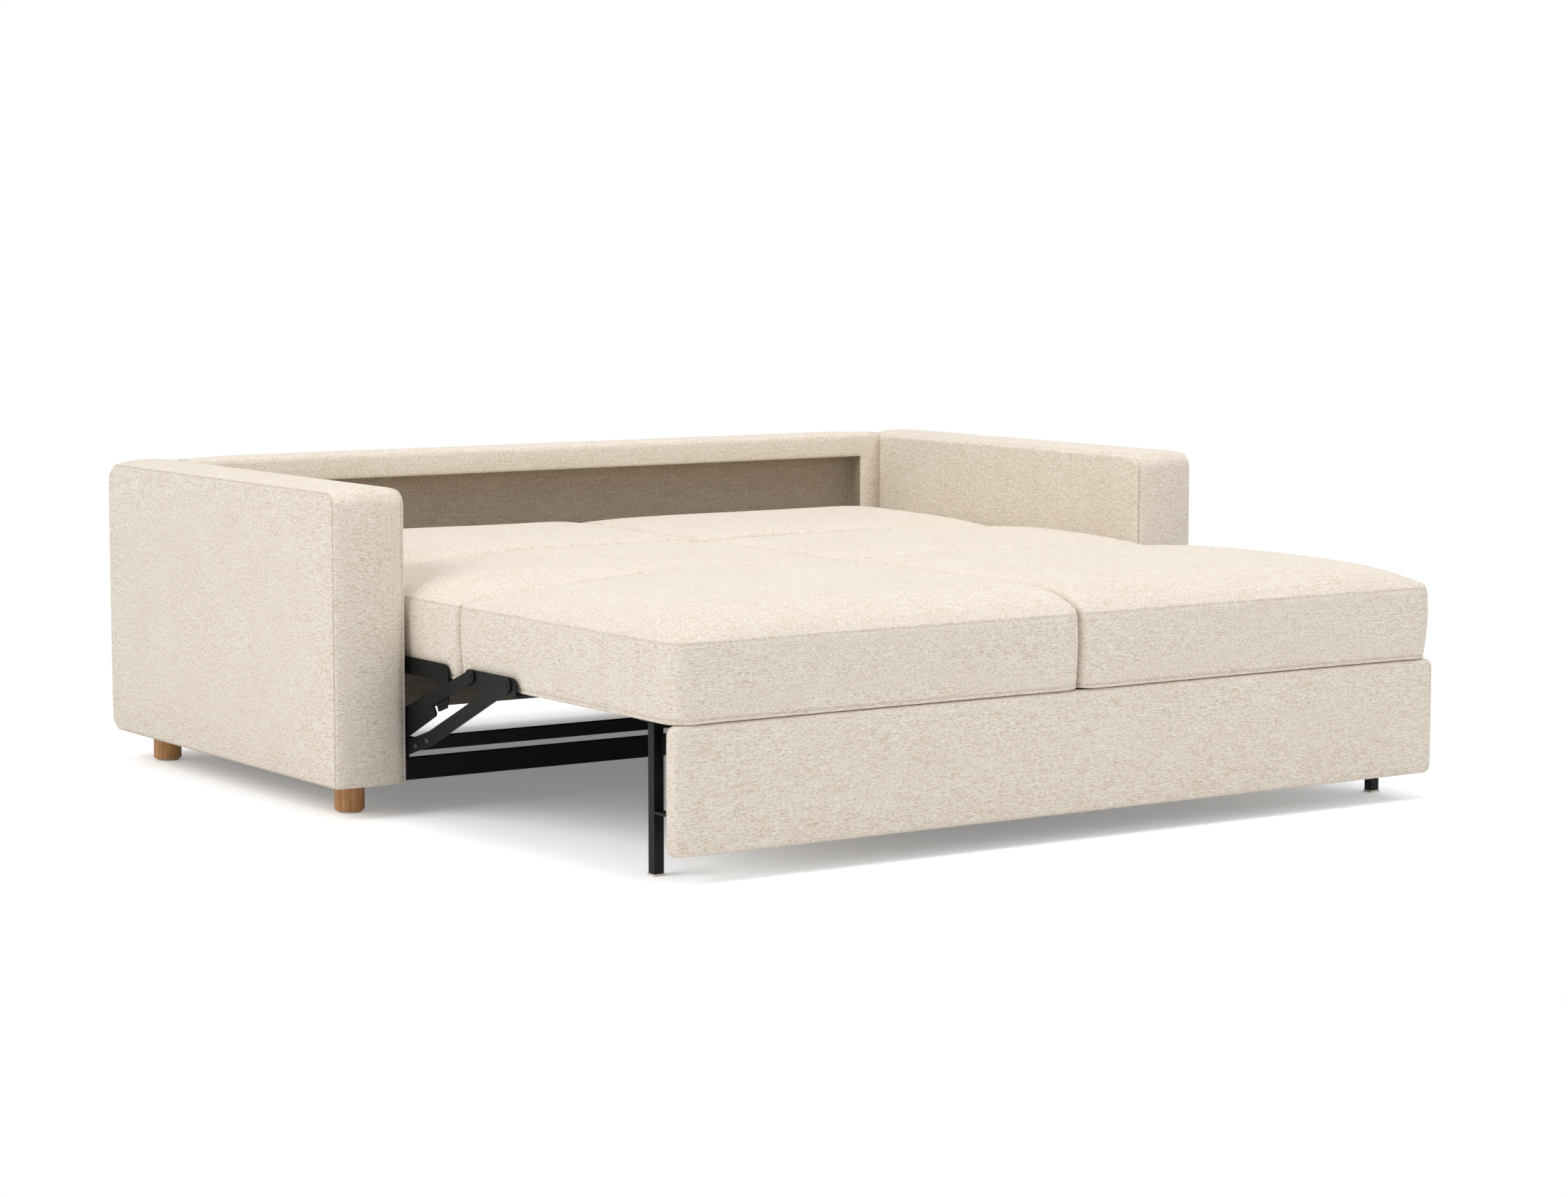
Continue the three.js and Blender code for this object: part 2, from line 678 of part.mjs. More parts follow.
// Front leg: a square tube with the two flats that hold the front panel, and a top plate
// welded to the side of the seat frame.
function makeLeg() {
  const x0 = legOuterX - legTube;
  const legRearY = legFrontY + legTube;
  const panelBackY = bedFrontY + panelThickness + contactGap;
  const tube = boxBetween(x0, legOuterX, legFrontY, legRearY,
    legGlideHeight + contactGap, frameTopZ);
  const lowerFlat = boxBetween(x0, legOuterX, panelBackY, legFrontY + legTube / 2,
    legLowerFlatZ, legLowerFlatZ + legFlat);
  const upperPlate = boxBetween(x0, x0 + legFlat, panelBackY, legFrontY + legTube / 2,
    legUpperPlateBottom, legUpperPlateBottom + legUpperPlateHeight - contactGap);
  const topPlate = boxBetween(frameHalfWidth + contactGap, legOuterX + legTopPlateMargin,
    legFrontY - legTopPlateMargin, legRearY + legTopPlateMargin, frameTopZ - legTopPlate, frameTopZ);
  return tube.add(lowerFlat).add(upperPlate).add(topPlate);
}

function makeLegGlide() {
  return boxBetween(legOuterX - legTube - legGlideMargin, legOuterX + legGlideMargin,
    legFrontY - legGlideMargin, legFrontY + legTube + legGlideMargin, 0, legGlideHeight);
}

// A rivet head standing on the outer face of a bar.
function rivetHead(y, z, faceX) {
  return rodAlongX(faceX - rivetHeight, faceX + rivetHeight, y, z, rivetRadius, smallSides);
}

// Long front bar: a cranked flat from the seat plate down to the carriage, with two rivets.
function makeFrontBar() {
  const x0 = outerLayerX;
  const x1 = x0 + barThickness;
  let bar = roundEndedBar(x0, x1, [[frontBarTopY, frontBarTopZ], [frontBarKinkY, frontBarKinkZ],
    [frontBarEndY, frontBarEndZ]], frontBarWidth);
  for (const share of [frontRivetShare, rearRivetShare]) {
    const y = frontBarKinkY + share * (frontBarEndY - frontBarKinkY);
    const z = frontBarKinkZ + share * (frontBarEndZ - frontBarKinkZ);
    bar = bar.add(rivetHead(y, z, x1));
  }
  return bar.add(rivetHead(frontBarTopY, frontBarTopZ, x1));
}

// Short rear bar: it widens in a step towards the carriage.
function makeRearBar() {
  const x0 = outerLayerX;
  const x1 = x0 + barThickness;
  const slope = (rearBarEndZ - rearBarTopZ) / (rearBarEndY - rearBarTopY);
  const centreAt = (y) => rearBarTopZ + slope * (y - rearBarTopY);
  const bar = roundEndedBar(x0, x1, [[rearBarTopY, rearBarTopZ], [rearBarEndY, rearBarEndZ]], rearBarWidth);
  const wide = roundedShape([
    [rearBarStepY, centreAt(rearBarStepY), 0],
    [rearBarStepY - rearBarStepLean, rearBarStepZ, rearBarStepRound],
    [rearBarEndY, rearBarFootZ, rearBarStepRound],
    [rearBarEndY + rearBarWidth / 2, rearBarEndZ, 0],
  ]);
  return bar.add(extrudeAlongX(wide, x0, x1))
    .add(rivetHead(rearBarTopY, rearBarTopZ, x1));
}

// Pressed side plate on a section frame: it stands beside the cushion, and a ledge along
// its lower edge is welded to the frame's tube below the cushion.
function makeSidePlate(y0, y1, rearRound) {
  const outline = roundedShape([
    [y0, sidePlateBottom, 0],
    [y1, sidePlateBottom, 0],
    [y1, sidePlateTop, rearRound],
    [y0, sidePlateTop, sidePlateRound],
  ]);
  const ledge = boxBetween(frameHalfWidth + contactGap, innerLayerX + barThickness,
    y0, y1, sidePlateBottom, cushionBottom - contactGap);
  return extrudeAlongX(outline, innerLayerX, innerLayerX + barThickness).add(ledge);
}

// Stop arm of the middle plate: it hangs from the plate's front end, behind the rear bar.
function makeStopArm() {
  const front = middlePlateFrontY;
  const rear = front + stopArmWidth;
  const foot = sidePlateBottom - stopArmDrop;
  const outline = roundedShape([
    [front, sidePlateBottom + stopArmLean, 0],
    [front, sidePlateBottom - stopArmShoulderDrop, 0],
    [front + stopArmLean, foot + stopArmToeRise, 0],
    [rear + stopArmHeelReach, foot, 0],
    [rear + 2 * stopArmHeelReach, foot + stopArmHeelRise, 0],
    [rear, sidePlateBottom + stopArmLean, 0],
  ]);
  return extrudeAlongX(outline, innerLayerX, innerLayerX + barThickness);
}

// Gusset behind the lower ends of both bars, which joins them to the carriage.
function makeGusset() {
  return boxBetween(innerLayerX, innerLayerX + barThickness,
    carriageTubeY - gussetFrontReach, carriageTubeY + gussetRearReach,
    carriageTubeZ - gussetDrop, carriageTubeZ + gussetRise);
}

// Carriage: the tube across the sofa, and welded behind each end a hanger with two axles.
function makeCarriage() {
  const end = innerLayerX - contactGap;
  const half = carriageTube / 2;
  const tube = boxBetween(-end, end, carriageTubeY - half, carriageTubeY + half,
    carriageTubeZ - half, carriageTubeZ + half);
  const hangerTop = carriageTubeZ + half - contactGap;
  const plate = boxBetween(hangerX, hangerX + barThickness, hangerFrontY, hangerRearY,
    hangerBottomZ, hangerTop)
    .add(boxBetween(hangerX, hangerX + barThickness, carriageTubeY, hangerFrontY + barThickness,
      carriageTubeZ - half + contactGap, hangerTop));
  const axleEnd = hangerX + barThickness + rollerSideGap + rollerWidth + axleOverhang;
  const axle = (y) => rodAlongX(hangerX, axleEnd, y, rollerZ, axleRadius, smallSides);
  const hanger = plate.add(axle(rollerFrontY)).add(axle(rollerRearY));
  return tube.add(hanger).add(mirrored(hanger));
}

// Plastic roller with chamfered rims, bored for its axle.
function makeRoller(y) {
  const x0 = hangerX + barThickness + rollerSideGap;
  const bore = axleRadius + axleClearance;
  const profile = [
    new THREE.Vector2(bore, 0),
    new THREE.Vector2(rollerRadius - rollerRimChamfer, 0),
    new THREE.Vector2(rollerRadius, rollerRimChamfer),
    new THREE.Vector2(rollerRadius, rollerWidth - rollerRimChamfer),
    new THREE.Vector2(rollerRadius - rollerRimChamfer, rollerWidth),
    new THREE.Vector2(bore, rollerWidth),
    new THREE.Vector2(bore, 0),
  ];
  const roller = new THREE.LatheGeometry(profile, roundSides);
  roller.rotateZ(-Math.PI / 2);
  roller.translate(x0, y, rollerZ);
  return solidOf(roller);
}

// Channel in which the rollers run. It lies on the base rail and ends at the back.
function makeTrack() {
  const openX = hangerX + barThickness + trackSideGap;
  const inside = rollerRadius + rollerGap;
  const y1 = backFrontY - contactGap;
  const outer = boxBetween(openX, trackOuterX, trackFrontY, y1,
    rollerZ - inside - trackWall, rollerZ + inside + trackWall);
  const inner = boxBetween(openX - cutOverrun, trackWebX, trackFrontY - cutOverrun, y1 + cutOverrun,
    rollerZ - inside, rollerZ + inside);
  return outer.subtract(inner);
}

// Fixed frame of the sofa
addPair('frame', 'arm', makeArm(), cloth);
addPiece('frame', 'back_frame', makeBack(), cloth);
makeFeet();
addPiece('frame', 'base_rail', makeBaseRail(), blackSteel);
addPair('frame', 'track', makeTrack(), blackSteel);

// Rear section
addPiece('rear', 'rear_section_frame',
  makeSectionFrame(crestY + frameEndSetback, bedRearY - frameFrontSetback, shortSlatCount), blackSteel);
addCushions('rear', crestY + seamGap / 2, bedRearY, cushionCornerRadius, rearCrown);
addRearPivots();

// Middle section
addPiece('middle', 'middle_section_frame',
  makeSectionFrame(seatSeamY + frameEndSetback, crestY - frameEndSetback, shortSlatCount), blackSteel);
addCushions('middle', seatSeamY + seamGap / 2, crestY - seamGap / 2, cushionCornerRadius, middleCrown);
addPair('middle', 'middle_side_plate',
  makeSidePlate(middlePlateFrontY, middlePlateRearY, 0).add(makeStopArm()), blackSteel);

// Seat section
addPiece('seat', 'seat_section_frame',
  makeSectionFrame(bedFrontY + frameFrontSetback, seatSeamY - frameEndSetback, seatSlatCount), blackSteel);
addCushions('seat', bedFrontY, seatSeamY - seamGap / 2, seatCornerRadius, seatCrown);
addPair('seat', 'seat_side_plate', makeSidePlate(seatPlateFrontY, seatPlateRearY, sidePlateRound), blackSteel);
addPiece('seat', 'front_panel', makeFrontPanel(), cloth);
addPair('seat', 'front_leg', makeLeg(), blackSteel);
addPair('seat', 'front_leg_glide', makeLegGlide(), palePlastic);
addPair('seat', 'front_bar', makeFrontBar(), blackSteel);
addPair('seat', 'rear_bar', makeRearBar(), blackSteel);
addPair('seat', 'carriage_gusset', makeGusset(), blackSteel);
addPiece('seat', 'carriage', makeCarriage(), blackSteel);
addPair('seat', 'front_roller', makeRoller(rollerFrontY), blackPlastic);
addPair('seat', 'rear_roller', makeRoller(rollerRearY), blackPlastic);

// Hinges: the crest hinge folds the undersides together, the seam hinge the cushions
addHinge('crest_hinge', 'middle', 'rear', crestY, foldBottomZ, frameTopZ);
addHinge('seam_hinge', 'seat', 'middle', seatSeamY, foldTopZ, frameBottomZ);

sofa.position.y = footprintShift;

export default sofa;
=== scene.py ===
"""Sleeper sofa, opened into a bed, dressed for a studio picture.

Metres throughout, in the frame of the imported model: origin at the centre of the
footprint on the floor, +X to the right in a front view, +Y to the back, +Z up.
"""
import math

import bmesh
import bpy
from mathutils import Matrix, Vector, noise


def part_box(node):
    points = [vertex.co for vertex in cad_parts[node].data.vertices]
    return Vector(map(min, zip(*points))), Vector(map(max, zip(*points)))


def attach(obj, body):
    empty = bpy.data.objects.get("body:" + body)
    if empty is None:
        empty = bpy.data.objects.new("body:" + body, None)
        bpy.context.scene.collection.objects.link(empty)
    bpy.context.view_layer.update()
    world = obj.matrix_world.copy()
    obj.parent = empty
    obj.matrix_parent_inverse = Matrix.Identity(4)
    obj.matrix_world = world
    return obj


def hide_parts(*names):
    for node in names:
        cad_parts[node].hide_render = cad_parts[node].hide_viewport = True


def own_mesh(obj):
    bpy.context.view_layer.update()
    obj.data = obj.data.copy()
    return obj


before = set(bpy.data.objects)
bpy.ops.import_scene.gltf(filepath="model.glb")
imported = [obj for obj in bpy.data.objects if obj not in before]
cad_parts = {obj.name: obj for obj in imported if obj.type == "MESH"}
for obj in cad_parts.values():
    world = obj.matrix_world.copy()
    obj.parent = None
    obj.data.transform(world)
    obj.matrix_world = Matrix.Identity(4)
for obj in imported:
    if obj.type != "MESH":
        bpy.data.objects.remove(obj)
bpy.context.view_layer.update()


# Camera
# A long lens at the front left, 1.2 m above the floor, as in the photograph. The
# fit came from the edges of the arms, the bed and the panel.
camera_data = bpy.data.cameras.new("camera")
camera_data.sensor_width = 36.0
camera_data.lens = 84.5
camera_data.clip_end = 60.0
camera = bpy.data.objects.new("camera", camera_data)
camera.location = (-4.30075, -6.3738, 1.16828)
camera.rotation_euler = (math.radians(84.08), 0.0, math.radians(-34.06))
bpy.context.collection.objects.link(camera)
bpy.context.scene.camera = camera
bpy.context.scene.view_settings.view_transform = "Standard"


# Floor and studio light
# A matt white cove that runs out of the picture. The camera sees it exposed to
# white, and it keeps the sofa's soft shadow.
def linear(hex_colour):
    """An sRGB hex value as linear RGBA."""
    parts = [int(hex_colour[i:i + 2], 16) / 255 for i in (1, 3, 5)]
    return [c / 12.92 if c <= 0.04045 else ((c + 0.055) / 1.055) ** 2.4 for c in parts] + [1.0]


def add_node(tree, kind, settings=None, inputs=None):
    """One shader node with its settings, its values and its links."""
    node = tree.nodes.new(kind)
    for name, value in (settings or {}).items():
        setattr(node, name, value)
    for name, value in (inputs or {}).items():
        if isinstance(value, bpy.types.NodeSocket):
            tree.links.new(value, node.inputs[name])
        else:
            node.inputs[name].default_value = value
    return node


floor_mesh = bpy.data.meshes.new("floor")
bm = bmesh.new()
bmesh.ops.create_grid(bm, x_segments=1, y_segments=1, size=30.0)
bm.to_mesh(floor_mesh)
bm.free()
floor = bpy.data.objects.new("floor", floor_mesh)
bpy.context.collection.objects.link(floor)

floor_paint = bpy.data.materials.new("floor_paint")
floor_paint.use_nodes = True
tree = floor_paint.node_tree
tree.nodes.clear()
white = add_node(tree, "ShaderNodeEmission", inputs={"Color": linear("#ffffff"), "Strength": 1.0})
path = add_node(tree, "ShaderNodeLightPath")
seen = add_node(tree, "ShaderNodeMath", {"operation": "MAXIMUM"},
                {0: path.outputs["Is Camera Ray"], 1: path.outputs["Is Glossy Ray"]})
paint_whiteness = 0.9
camera_exposure = 0.52  # added to the paint for what the camera and polished metal see
shadow_lift = 0.21  # share of plain white mixed in close to the sofa
sweep_start, sweep_end = 1.5, 2.6  # where the floor turns fully white, from the centre
exposed = add_node(tree, "ShaderNodeMath", {"operation": "MULTIPLY_ADD"},
                   {0: seen.outputs[0], 1: camera_exposure, 2: paint_whiteness})
matt = add_node(tree, "ShaderNodeBsdfDiffuse", inputs={"Color": exposed.outputs[0]})
ground = add_node(tree, "ShaderNodeTexCoord")
reach = add_node(tree, "ShaderNodeVectorMath", {"operation": "LENGTH"}, {0: ground.outputs["Object"]})
fade = add_node(tree, "ShaderNodeMapRange", {"interpolation_type": "SMOOTHSTEP"},
                {"Value": reach.outputs["Value"], "From Min": sweep_start, "From Max": sweep_end,
                 "To Min": shadow_lift, "To Max": 1.0})
lift = add_node(tree, "ShaderNodeMath", {"operation": "MULTIPLY"},
                {0: seen.outputs[0], 1: fade.outputs[0]})
mix = add_node(tree, "ShaderNodeMixShader",
               inputs={0: lift.outputs[0], 1: matt.outputs[0], 2: white.outputs[0]})
add_node(tree, "ShaderNodeOutputMaterial", inputs={"Surface": mix.outputs[0]})
floor_mesh.materials.append(floor_paint)

world = bpy.data.worlds.new("studio")
bpy.context.scene.world = world
world.use_nodes = True
tree = world.node_tree
tree.nodes.clear()
room = add_node(tree, "ShaderNodeBackground", inputs={"Color": linear("#f7f8fa"), "Strength": 0.60})
paper = add_node(tree, "ShaderNodeBackground", inputs={"Color": linear("#ffffff"), "Strength": 1.0})
path = add_node(tree, "ShaderNodeLightPath")
glossy = add_node(tree, "ShaderNodeMath", {"operation": "MAXIMUM"},
                  {0: path.outputs["Is Camera Ray"], 1: path.outputs["Is Glossy Ray"]})
seen = add_node(tree, "ShaderNodeMath", {"operation": "MAXIMUM"},
                {0: glossy.outputs[0], 1: path.outputs["Is Transmission Ray"]})
mix = add_node(tree, "ShaderNodeMixShader",
               inputs={0: seen.outputs[0], 1: room.outputs[0], 2: paper.outputs[0]})
add_node(tree, "ShaderNodeOutputWorld", inputs={"Surface": mix.outputs[0]})

for lamp_name, place, aim, size, watts in (
        ("key_softbox", (-6.2, -0.5, 5.0), (0.0, -0.1, 0.3), 4.4, 222.0),
        ("top_softbox", (0.9, -0.6, 4.8), (0.1, -0.2, 0.4), 3.6, 109.0),
        ("front_softbox", (0.4, -6.0, 2.2), (0.4, -0.6, 0.3), 3.2, 46.0)):
    lamp_data = bpy.data.lights.new(lamp_name, "AREA")
    lamp_data.size = size
    lamp_data.energy = watts
    lamp = bpy.data.objects.new(lamp_name, lamp_data)
    lamp.location = place
    lamp.rotation_euler = (Vector(aim) - Vector(place)).to_track_quat("-Z", "Y").to_euler()
    bpy.context.collection.objects.link(lamp)


# Upholstery cloth
# A plain weave of cream and sand melange yarn. Short darker and lighter dashes lie
# along the weft, level on upright faces and across the sofa on flat ones: 6 mm long
# and 1.4 mm thick, a little coarser than real yarn so they show. The ribs of the
# weave are about 1 mm apart in such cloth, and are drawn 4.2 mm apart.
yarn_dashes_upright = (165.0, 140.0, 720.0)  # dashes per metre along X, Y and Z
yarn_dashes_flat = (180.0, 720.0, 180.0)
slubs_upright = (34.0, 34.0, 360.0)
slubs_flat = (34.0, 360.0, 34.0)
slub_share = 0.22
clouds_per_metre = 9.0  # faint lighter and darker clouds, about 11 cm across
rib_spacing = 0.0042


def make_melange_cloth(name, yarns):
    """Cloth of five yarn colours, from the darkest to the lightest."""
    material = bpy.data.materials.new(name)
    material.use_nodes = True
    tree = material.node_tree
    tree.nodes.clear()
    place = add_node(tree, "ShaderNodeTexCoord")
    upright = add_node(tree, "ShaderNodeSeparateXYZ", inputs={0: place.outputs["Normal"]})
    flatness = add_node(tree, "ShaderNodeMath", {"operation": "ABSOLUTE"}, {0: upright.outputs["Z"]})
    is_flat = add_node(tree, "ShaderNodeMapRange",
                       inputs={"Value": flatness.outputs[0], "From Min": 0.6, "From Max": 0.8})
    yarn_sets = []
    for upright_scale, flat_scale in ((yarn_dashes_upright, yarn_dashes_flat),
                                      (slubs_upright, slubs_flat)):
        dashes = []
        for scale in (upright_scale, flat_scale):
            run = add_node(tree, "ShaderNodeMapping",
                           inputs={"Vector": place.outputs["Object"], "Scale": scale})
            dashes.append(add_node(tree, "ShaderNodeTexNoise",
                                   inputs={"Vector": run.outputs[0], "Scale": 1.0, "Detail": 2.0,
                                           "Roughness": 0.6}))
        yarn_sets.append(add_node(tree, "ShaderNodeMix", {"data_type": "FLOAT"},
                                  {0: is_flat.outputs[0], 2: dashes[0].outputs["Fac"],
                                   3: dashes[1].outputs["Fac"]}))
    yarn, slub = yarn_sets
    melange = add_node(tree, "ShaderNodeMix", {"data_type": "FLOAT"},
                       {0: slub_share, 2: yarn.outputs[0], 3: slub.outputs[0]})
    clouds = add_node(tree, "ShaderNodeTexNoise",
                      inputs={"Vector": place.outputs["Object"], "Scale": clouds_per_metre,
                              "Detail": 2.0})
    shifted = add_node(tree, "ShaderNodeMath", {"operation": "MULTIPLY_ADD"},
                       {0: clouds.outputs["Fac"], 1: 0.05, 2: melange.outputs[0]})
    ramp = add_node(tree, "ShaderNodeValToRGB", inputs={0: shifted.outputs[0]})
    stops = ramp.color_ramp.elements
    stops[0].position, stops[0].color = 0.375, linear(yarns[0])
    stops[1].position, stops[1].color = 0.675, linear(yarns[4])
    for position, colour in zip((0.455, 0.525, 0.595), yarns[1:4]):
        stop = stops.new(position)
        stop.color = linear(colour)
    # seams are drawn darker, towards #8b7861: the thread's colour and painted shade in the seam's groove
    sewn = add_node(tree, "ShaderNodeAttribute", {"attribute_name": "sewn"})
    shade = add_node(tree, "ShaderNodeMath", {"operation": "MULTIPLY"},
                     {0: sewn.outputs["Fac"], 1: 0.24})
    colour = add_node(tree, "ShaderNodeMix", {"data_type": "RGBA"},
                      {0: shade.outputs[0], 6: ramp.outputs["Color"], 7: linear("#8b7861")})
    ribs = []
    for axis in ("X", "Y", "Z"):
        wave = add_node(tree, "ShaderNodeTexWave", {"wave_type": "BANDS", "bands_direction": axis},
                        {"Vector": place.outputs["Object"], "Scale": 2 * math.pi / (20 * rib_spacing),
                         "Distortion": 0.6, "Detail": 1.0, "Detail Scale": 2.0})
        ribs.append(wave)
    along = add_node(tree, "ShaderNodeMath", {"operation": "ADD"},
                     {0: ribs[0].outputs["Fac"], 1: ribs[1].outputs["Fac"]})
    weave = add_node(tree, "ShaderNodeMath", {"operation": "ADD"},
                     {0: along.outputs[0], 1: ribs[2].outputs["Fac"]})
    height = add_node(tree, "ShaderNodeMath", {"operation": "MULTIPLY_ADD"},
                      {0: melange.outputs[0], 1: 2.2, 2: weave.outputs[0]})
    bump = add_node(tree, "ShaderNodeBump",
                    inputs={"Height": height.outputs[0], "Strength": 0.22, "Distance": 0.0010})
    cloth = add_node(tree, "ShaderNodeBsdfPrincipled",
                     inputs={"Base Color": colour.outputs[2], "Roughness": 0.92,
                             "Normal": bump.outputs[0], "Sheen Weight": 0.12, "Sheen Roughness": 0.5,
                             "Specular IOR Level": 0.2})
    add_node(tree, "ShaderNodeOutputMaterial", inputs={"Surface": cloth.outputs[0]})
    return material


melange_cloth = make_melange_cloth(
    "melange_cloth", ("#c3b299", "#d5c9b7", "#e0d4c6", "#e8dfd3", "#efe8de"))


# Arms
# A wooden box padded with foam and covered in two flat side panels and one long
# band that runs up the front, over the top and down the back. The cover is sewn
# along the edge of each side panel, so a fine seam runs round both faces.
def smoothstep(value):
    """An ease between 0 and 1."""
    value = min(max(value, 0.0), 1.0)
    return value * value * (3 - 2 * value)


def finish_piece(name, bm, body, material_slot, material, *nodes):
    """Turns a bmesh into a smooth piece that rides on a body in place of CAD nodes."""
    bmesh.ops.recalc_face_normals(bm, faces=bm.faces)
    mesh = bpy.data.meshes.new(name)
    bm.to_mesh(mesh)
    bm.free()
    mesh.materials.append(material)
    for polygon in mesh.polygons:
        polygon.use_smooth = True
    piece = bpy.data.objects.new(name, mesh)
    bpy.context.collection.objects.link(piece)
    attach(piece, body)
    if nodes:
        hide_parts(*nodes)
    return piece


def cut_into_grid(bm, axis, places):
    """Cuts every face by planes across one axis, so that the cover can be shaped."""
    normal = [0.0, 0.0, 0.0]
    normal[axis] = 1.0
    for place in places:
        point = [0.0, 0.0, 0.0]
        point[axis] = place
        bmesh.ops.bisect_plane(bm, geom=bm.verts[:] + bm.edges[:] + bm.faces[:], dist=1e-6,
                               plane_co=point, plane_no=normal)


def even_places(low, high, step):
    """Evenly spaced places strictly between two limits."""
    count = max(2, round((high - low) / step))
    return [low + (high - low) * i / count for i in range(1, count)]


def bevel_edges(bm, edges, radius, segments):
    """Rounds edges with an even arc."""
    bmesh.ops.bevel(bm, geom=edges, affect="EDGES", offset=radius, segments=segments,
                    profile=0.5, material=-1, clamp_overlap=True)


seam_half_width = 0.0022
seam_depth = 0.0024


def sew_seam(bm, edges):
    """Draws a cover in along a line of edges, as a plain sewn seam does, and marks it to be drawn darker,
    for the thread and painted shade in the groove.
    """
    sewn = bm.verts.layers.float.get("sewn") or bm.verts.layers.float.new("sewn")
    line = [v.co.copy() for v in {v for e in edges for v in e.verts}]
    bevelled = bmesh.ops.bevel(bm, geom=edges, affect="EDGES", offset=seam_half_width, segments=2,
                               profile=0.5, material=-1)
    bm.normal_update()
    # only the middle row of the bevel is drawn in, and its two sides stay level
    for vert in bevelled["verts"]:
        if min((vert.co - place).length for place in line) < 0.0013:
            vert.co -= vert.normal * seam_depth
            vert[sewn] = 1.0


arm_crown = 0.009  # how far the band swells out past the box, midway between its seams
arm_edge_radius = 0.008
arm_panel_seam_inset = 0.0024
arm_outer_swell = 0.005
arm_hollow_depth = 0.0009
padding_reach = 0.030  # how far from a corner the band starts to turn
band_step, panel_step = 0.016, 0.03  # mesh spacing across the band and over the side panels


def make_arm(side):
    """One padded arm, shaped as the right one and mirrored for the left."""
    low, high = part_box("arm_right")
    inner_x, outer_x = low[0], high[0]
    bottom = low[2]
    bm = bmesh.new()
    bmesh.ops.create_cube(bm, size=1.0)
    span = Vector((outer_x - inner_x, high[1] - low[1] - 2 * arm_crown,
                   high[2] - low[2] - arm_crown))
    middle = Vector(((inner_x + outer_x) / 2, (low[1] + high[1]) / 2,
                     (low[2] + high[2] - arm_crown) / 2))
    bmesh.ops.scale(bm, vec=span, verts=bm.verts)
    bmesh.ops.translate(bm, vec=middle, verts=bm.verts)
    front_y, back_y = middle.y - span.y / 2, middle.y + span.y / 2
    top_z = middle.z + span.z / 2
    for y, z, radius in ((front_y, top_z, 0.030), (back_y, top_z, 0.044),
                         (back_y, bottom, 0.034), (front_y, bottom, 0.010)):
        corner = [e for e in bm.edges if all(
            abs(v.co.y - y) < 1e-5 and abs(v.co.z - z) < 1e-5 for v in e.verts)]
        bevel_edges(bm, corner, radius, 8)
    rim = [e for e in bm.edges if all(abs(v.co.x - inner_x) < 1e-5 for v in e.verts)]
    rim += [e for e in bm.edges if all(abs(v.co.x - outer_x) < 1e-5 for v in e.verts)]
    bevel_edges(bm, rim, arm_edge_radius, 4)
    band_inner_x, band_outer_x = inner_x + arm_edge_radius, outer_x - arm_edge_radius
    cut_into_grid(bm, 0, even_places(band_inner_x, band_outer_x, band_step))
    cut_into_grid(bm, 1, even_places(front_y + 0.05, back_y - 0.05, panel_step))
    cut_into_grid(bm, 2, even_places(bottom + 0.04, top_z - 0.05, panel_step))
    for vert in bm.verts:
        p = vert.co
        across = (p.x - middle.x) / (span.x / 2)
        swell = arm_crown * (1 - abs(across) ** 2.4)
        core = Vector((p.x, min(max(p.y, front_y + padding_reach), back_y - padding_reach),
                       min(max(p.z, bottom + padding_reach), top_z - padding_reach)))
        outward = Vector((0.0, p.y - core.y, p.z - core.z))
        at_rim = abs(across) > 0.995 and outward.length < padding_reach - 0.012
        if outward.length > 1e-6 and not at_rim:
            outward.normalize()
            if outward.z < 0:
                outward.z = 0.0
            p += outward * swell
        share_y = (p.y - front_y) / span.y
        share_z = (p.z - bottom) / span.z
        fullness = (max(0.0, 4 * share_y * (1 - share_y)) ** 0.5
                    * max(0.0, 4 * share_z * (1 - share_z)) ** 0.5)
        if across > 0.93:
            hollows = arm_hollow_depth * noise.noise(Vector((p.y * 3.1, p.z * 3.1, 7.0)))
            p.x += arm_outer_swell * fullness + hollows * fullness
    # the outer panel is sewn on the corner, and the inner one wraps a little onto the band
    sew_seam(bm, [e for e in bm.edges if all(
        abs(v.co.x - outer_x + arm_panel_seam_inset) < 0.0014 for v in e.verts)])
    sew_seam(bm, [e for e in bm.edges if all(
        abs(v.co.x - band_inner_x) < 0.0005 for v in e.verts)])
    if side == "left":
        bmesh.ops.scale(bm, vec=(-1.0, 1.0, 1.0), verts=bm.verts)
    piece = finish_piece("padded_arm_" + side, bm, "sofa_frame", "upholstery_cloth", melange_cloth,
                         "arm_" + side)


for side in ("left", "right"):
    make_arm(side)


# Back
# The same padded build between the arms, with an upholstered niche that takes the
# rear cushions when the bed is folded. Its frame shows as a rail and two stiles.
stile_width = 0.0567
niche_floor, niche_ceiling, niche_depth = 0.300, 0.589, 0.0575
rail_rear_radius, rail_front_radius, niche_mouth_radius = 0.032, 0.012, 0.006
back_swell = 0.004
back_step = 0.035
low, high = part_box("back_frame")
bm = bmesh.new()
bmesh.ops.create_cube(bm, size=1.0)
span = Vector(high) - Vector(low) - Vector((0.0, back_swell, back_swell))
middle = (Vector(high) + Vector(low)) / 2 - Vector((0.0, 0.0, back_swell / 2))
bmesh.ops.scale(bm, vec=span, verts=bm.verts)
bmesh.ops.translate(bm, vec=middle, verts=bm.verts)
front_y, back_y = middle.y - span.y / 2, middle.y + span.y / 2
top_z = middle.z + span.z / 2
front_face = [f for f in bm.faces if f.normal.y < -0.9][0]
bmesh.ops.inset_region(bm, faces=[front_face], thickness=0.05)
niche_low = Vector((low[0] + stile_width, 0.0, niche_floor))
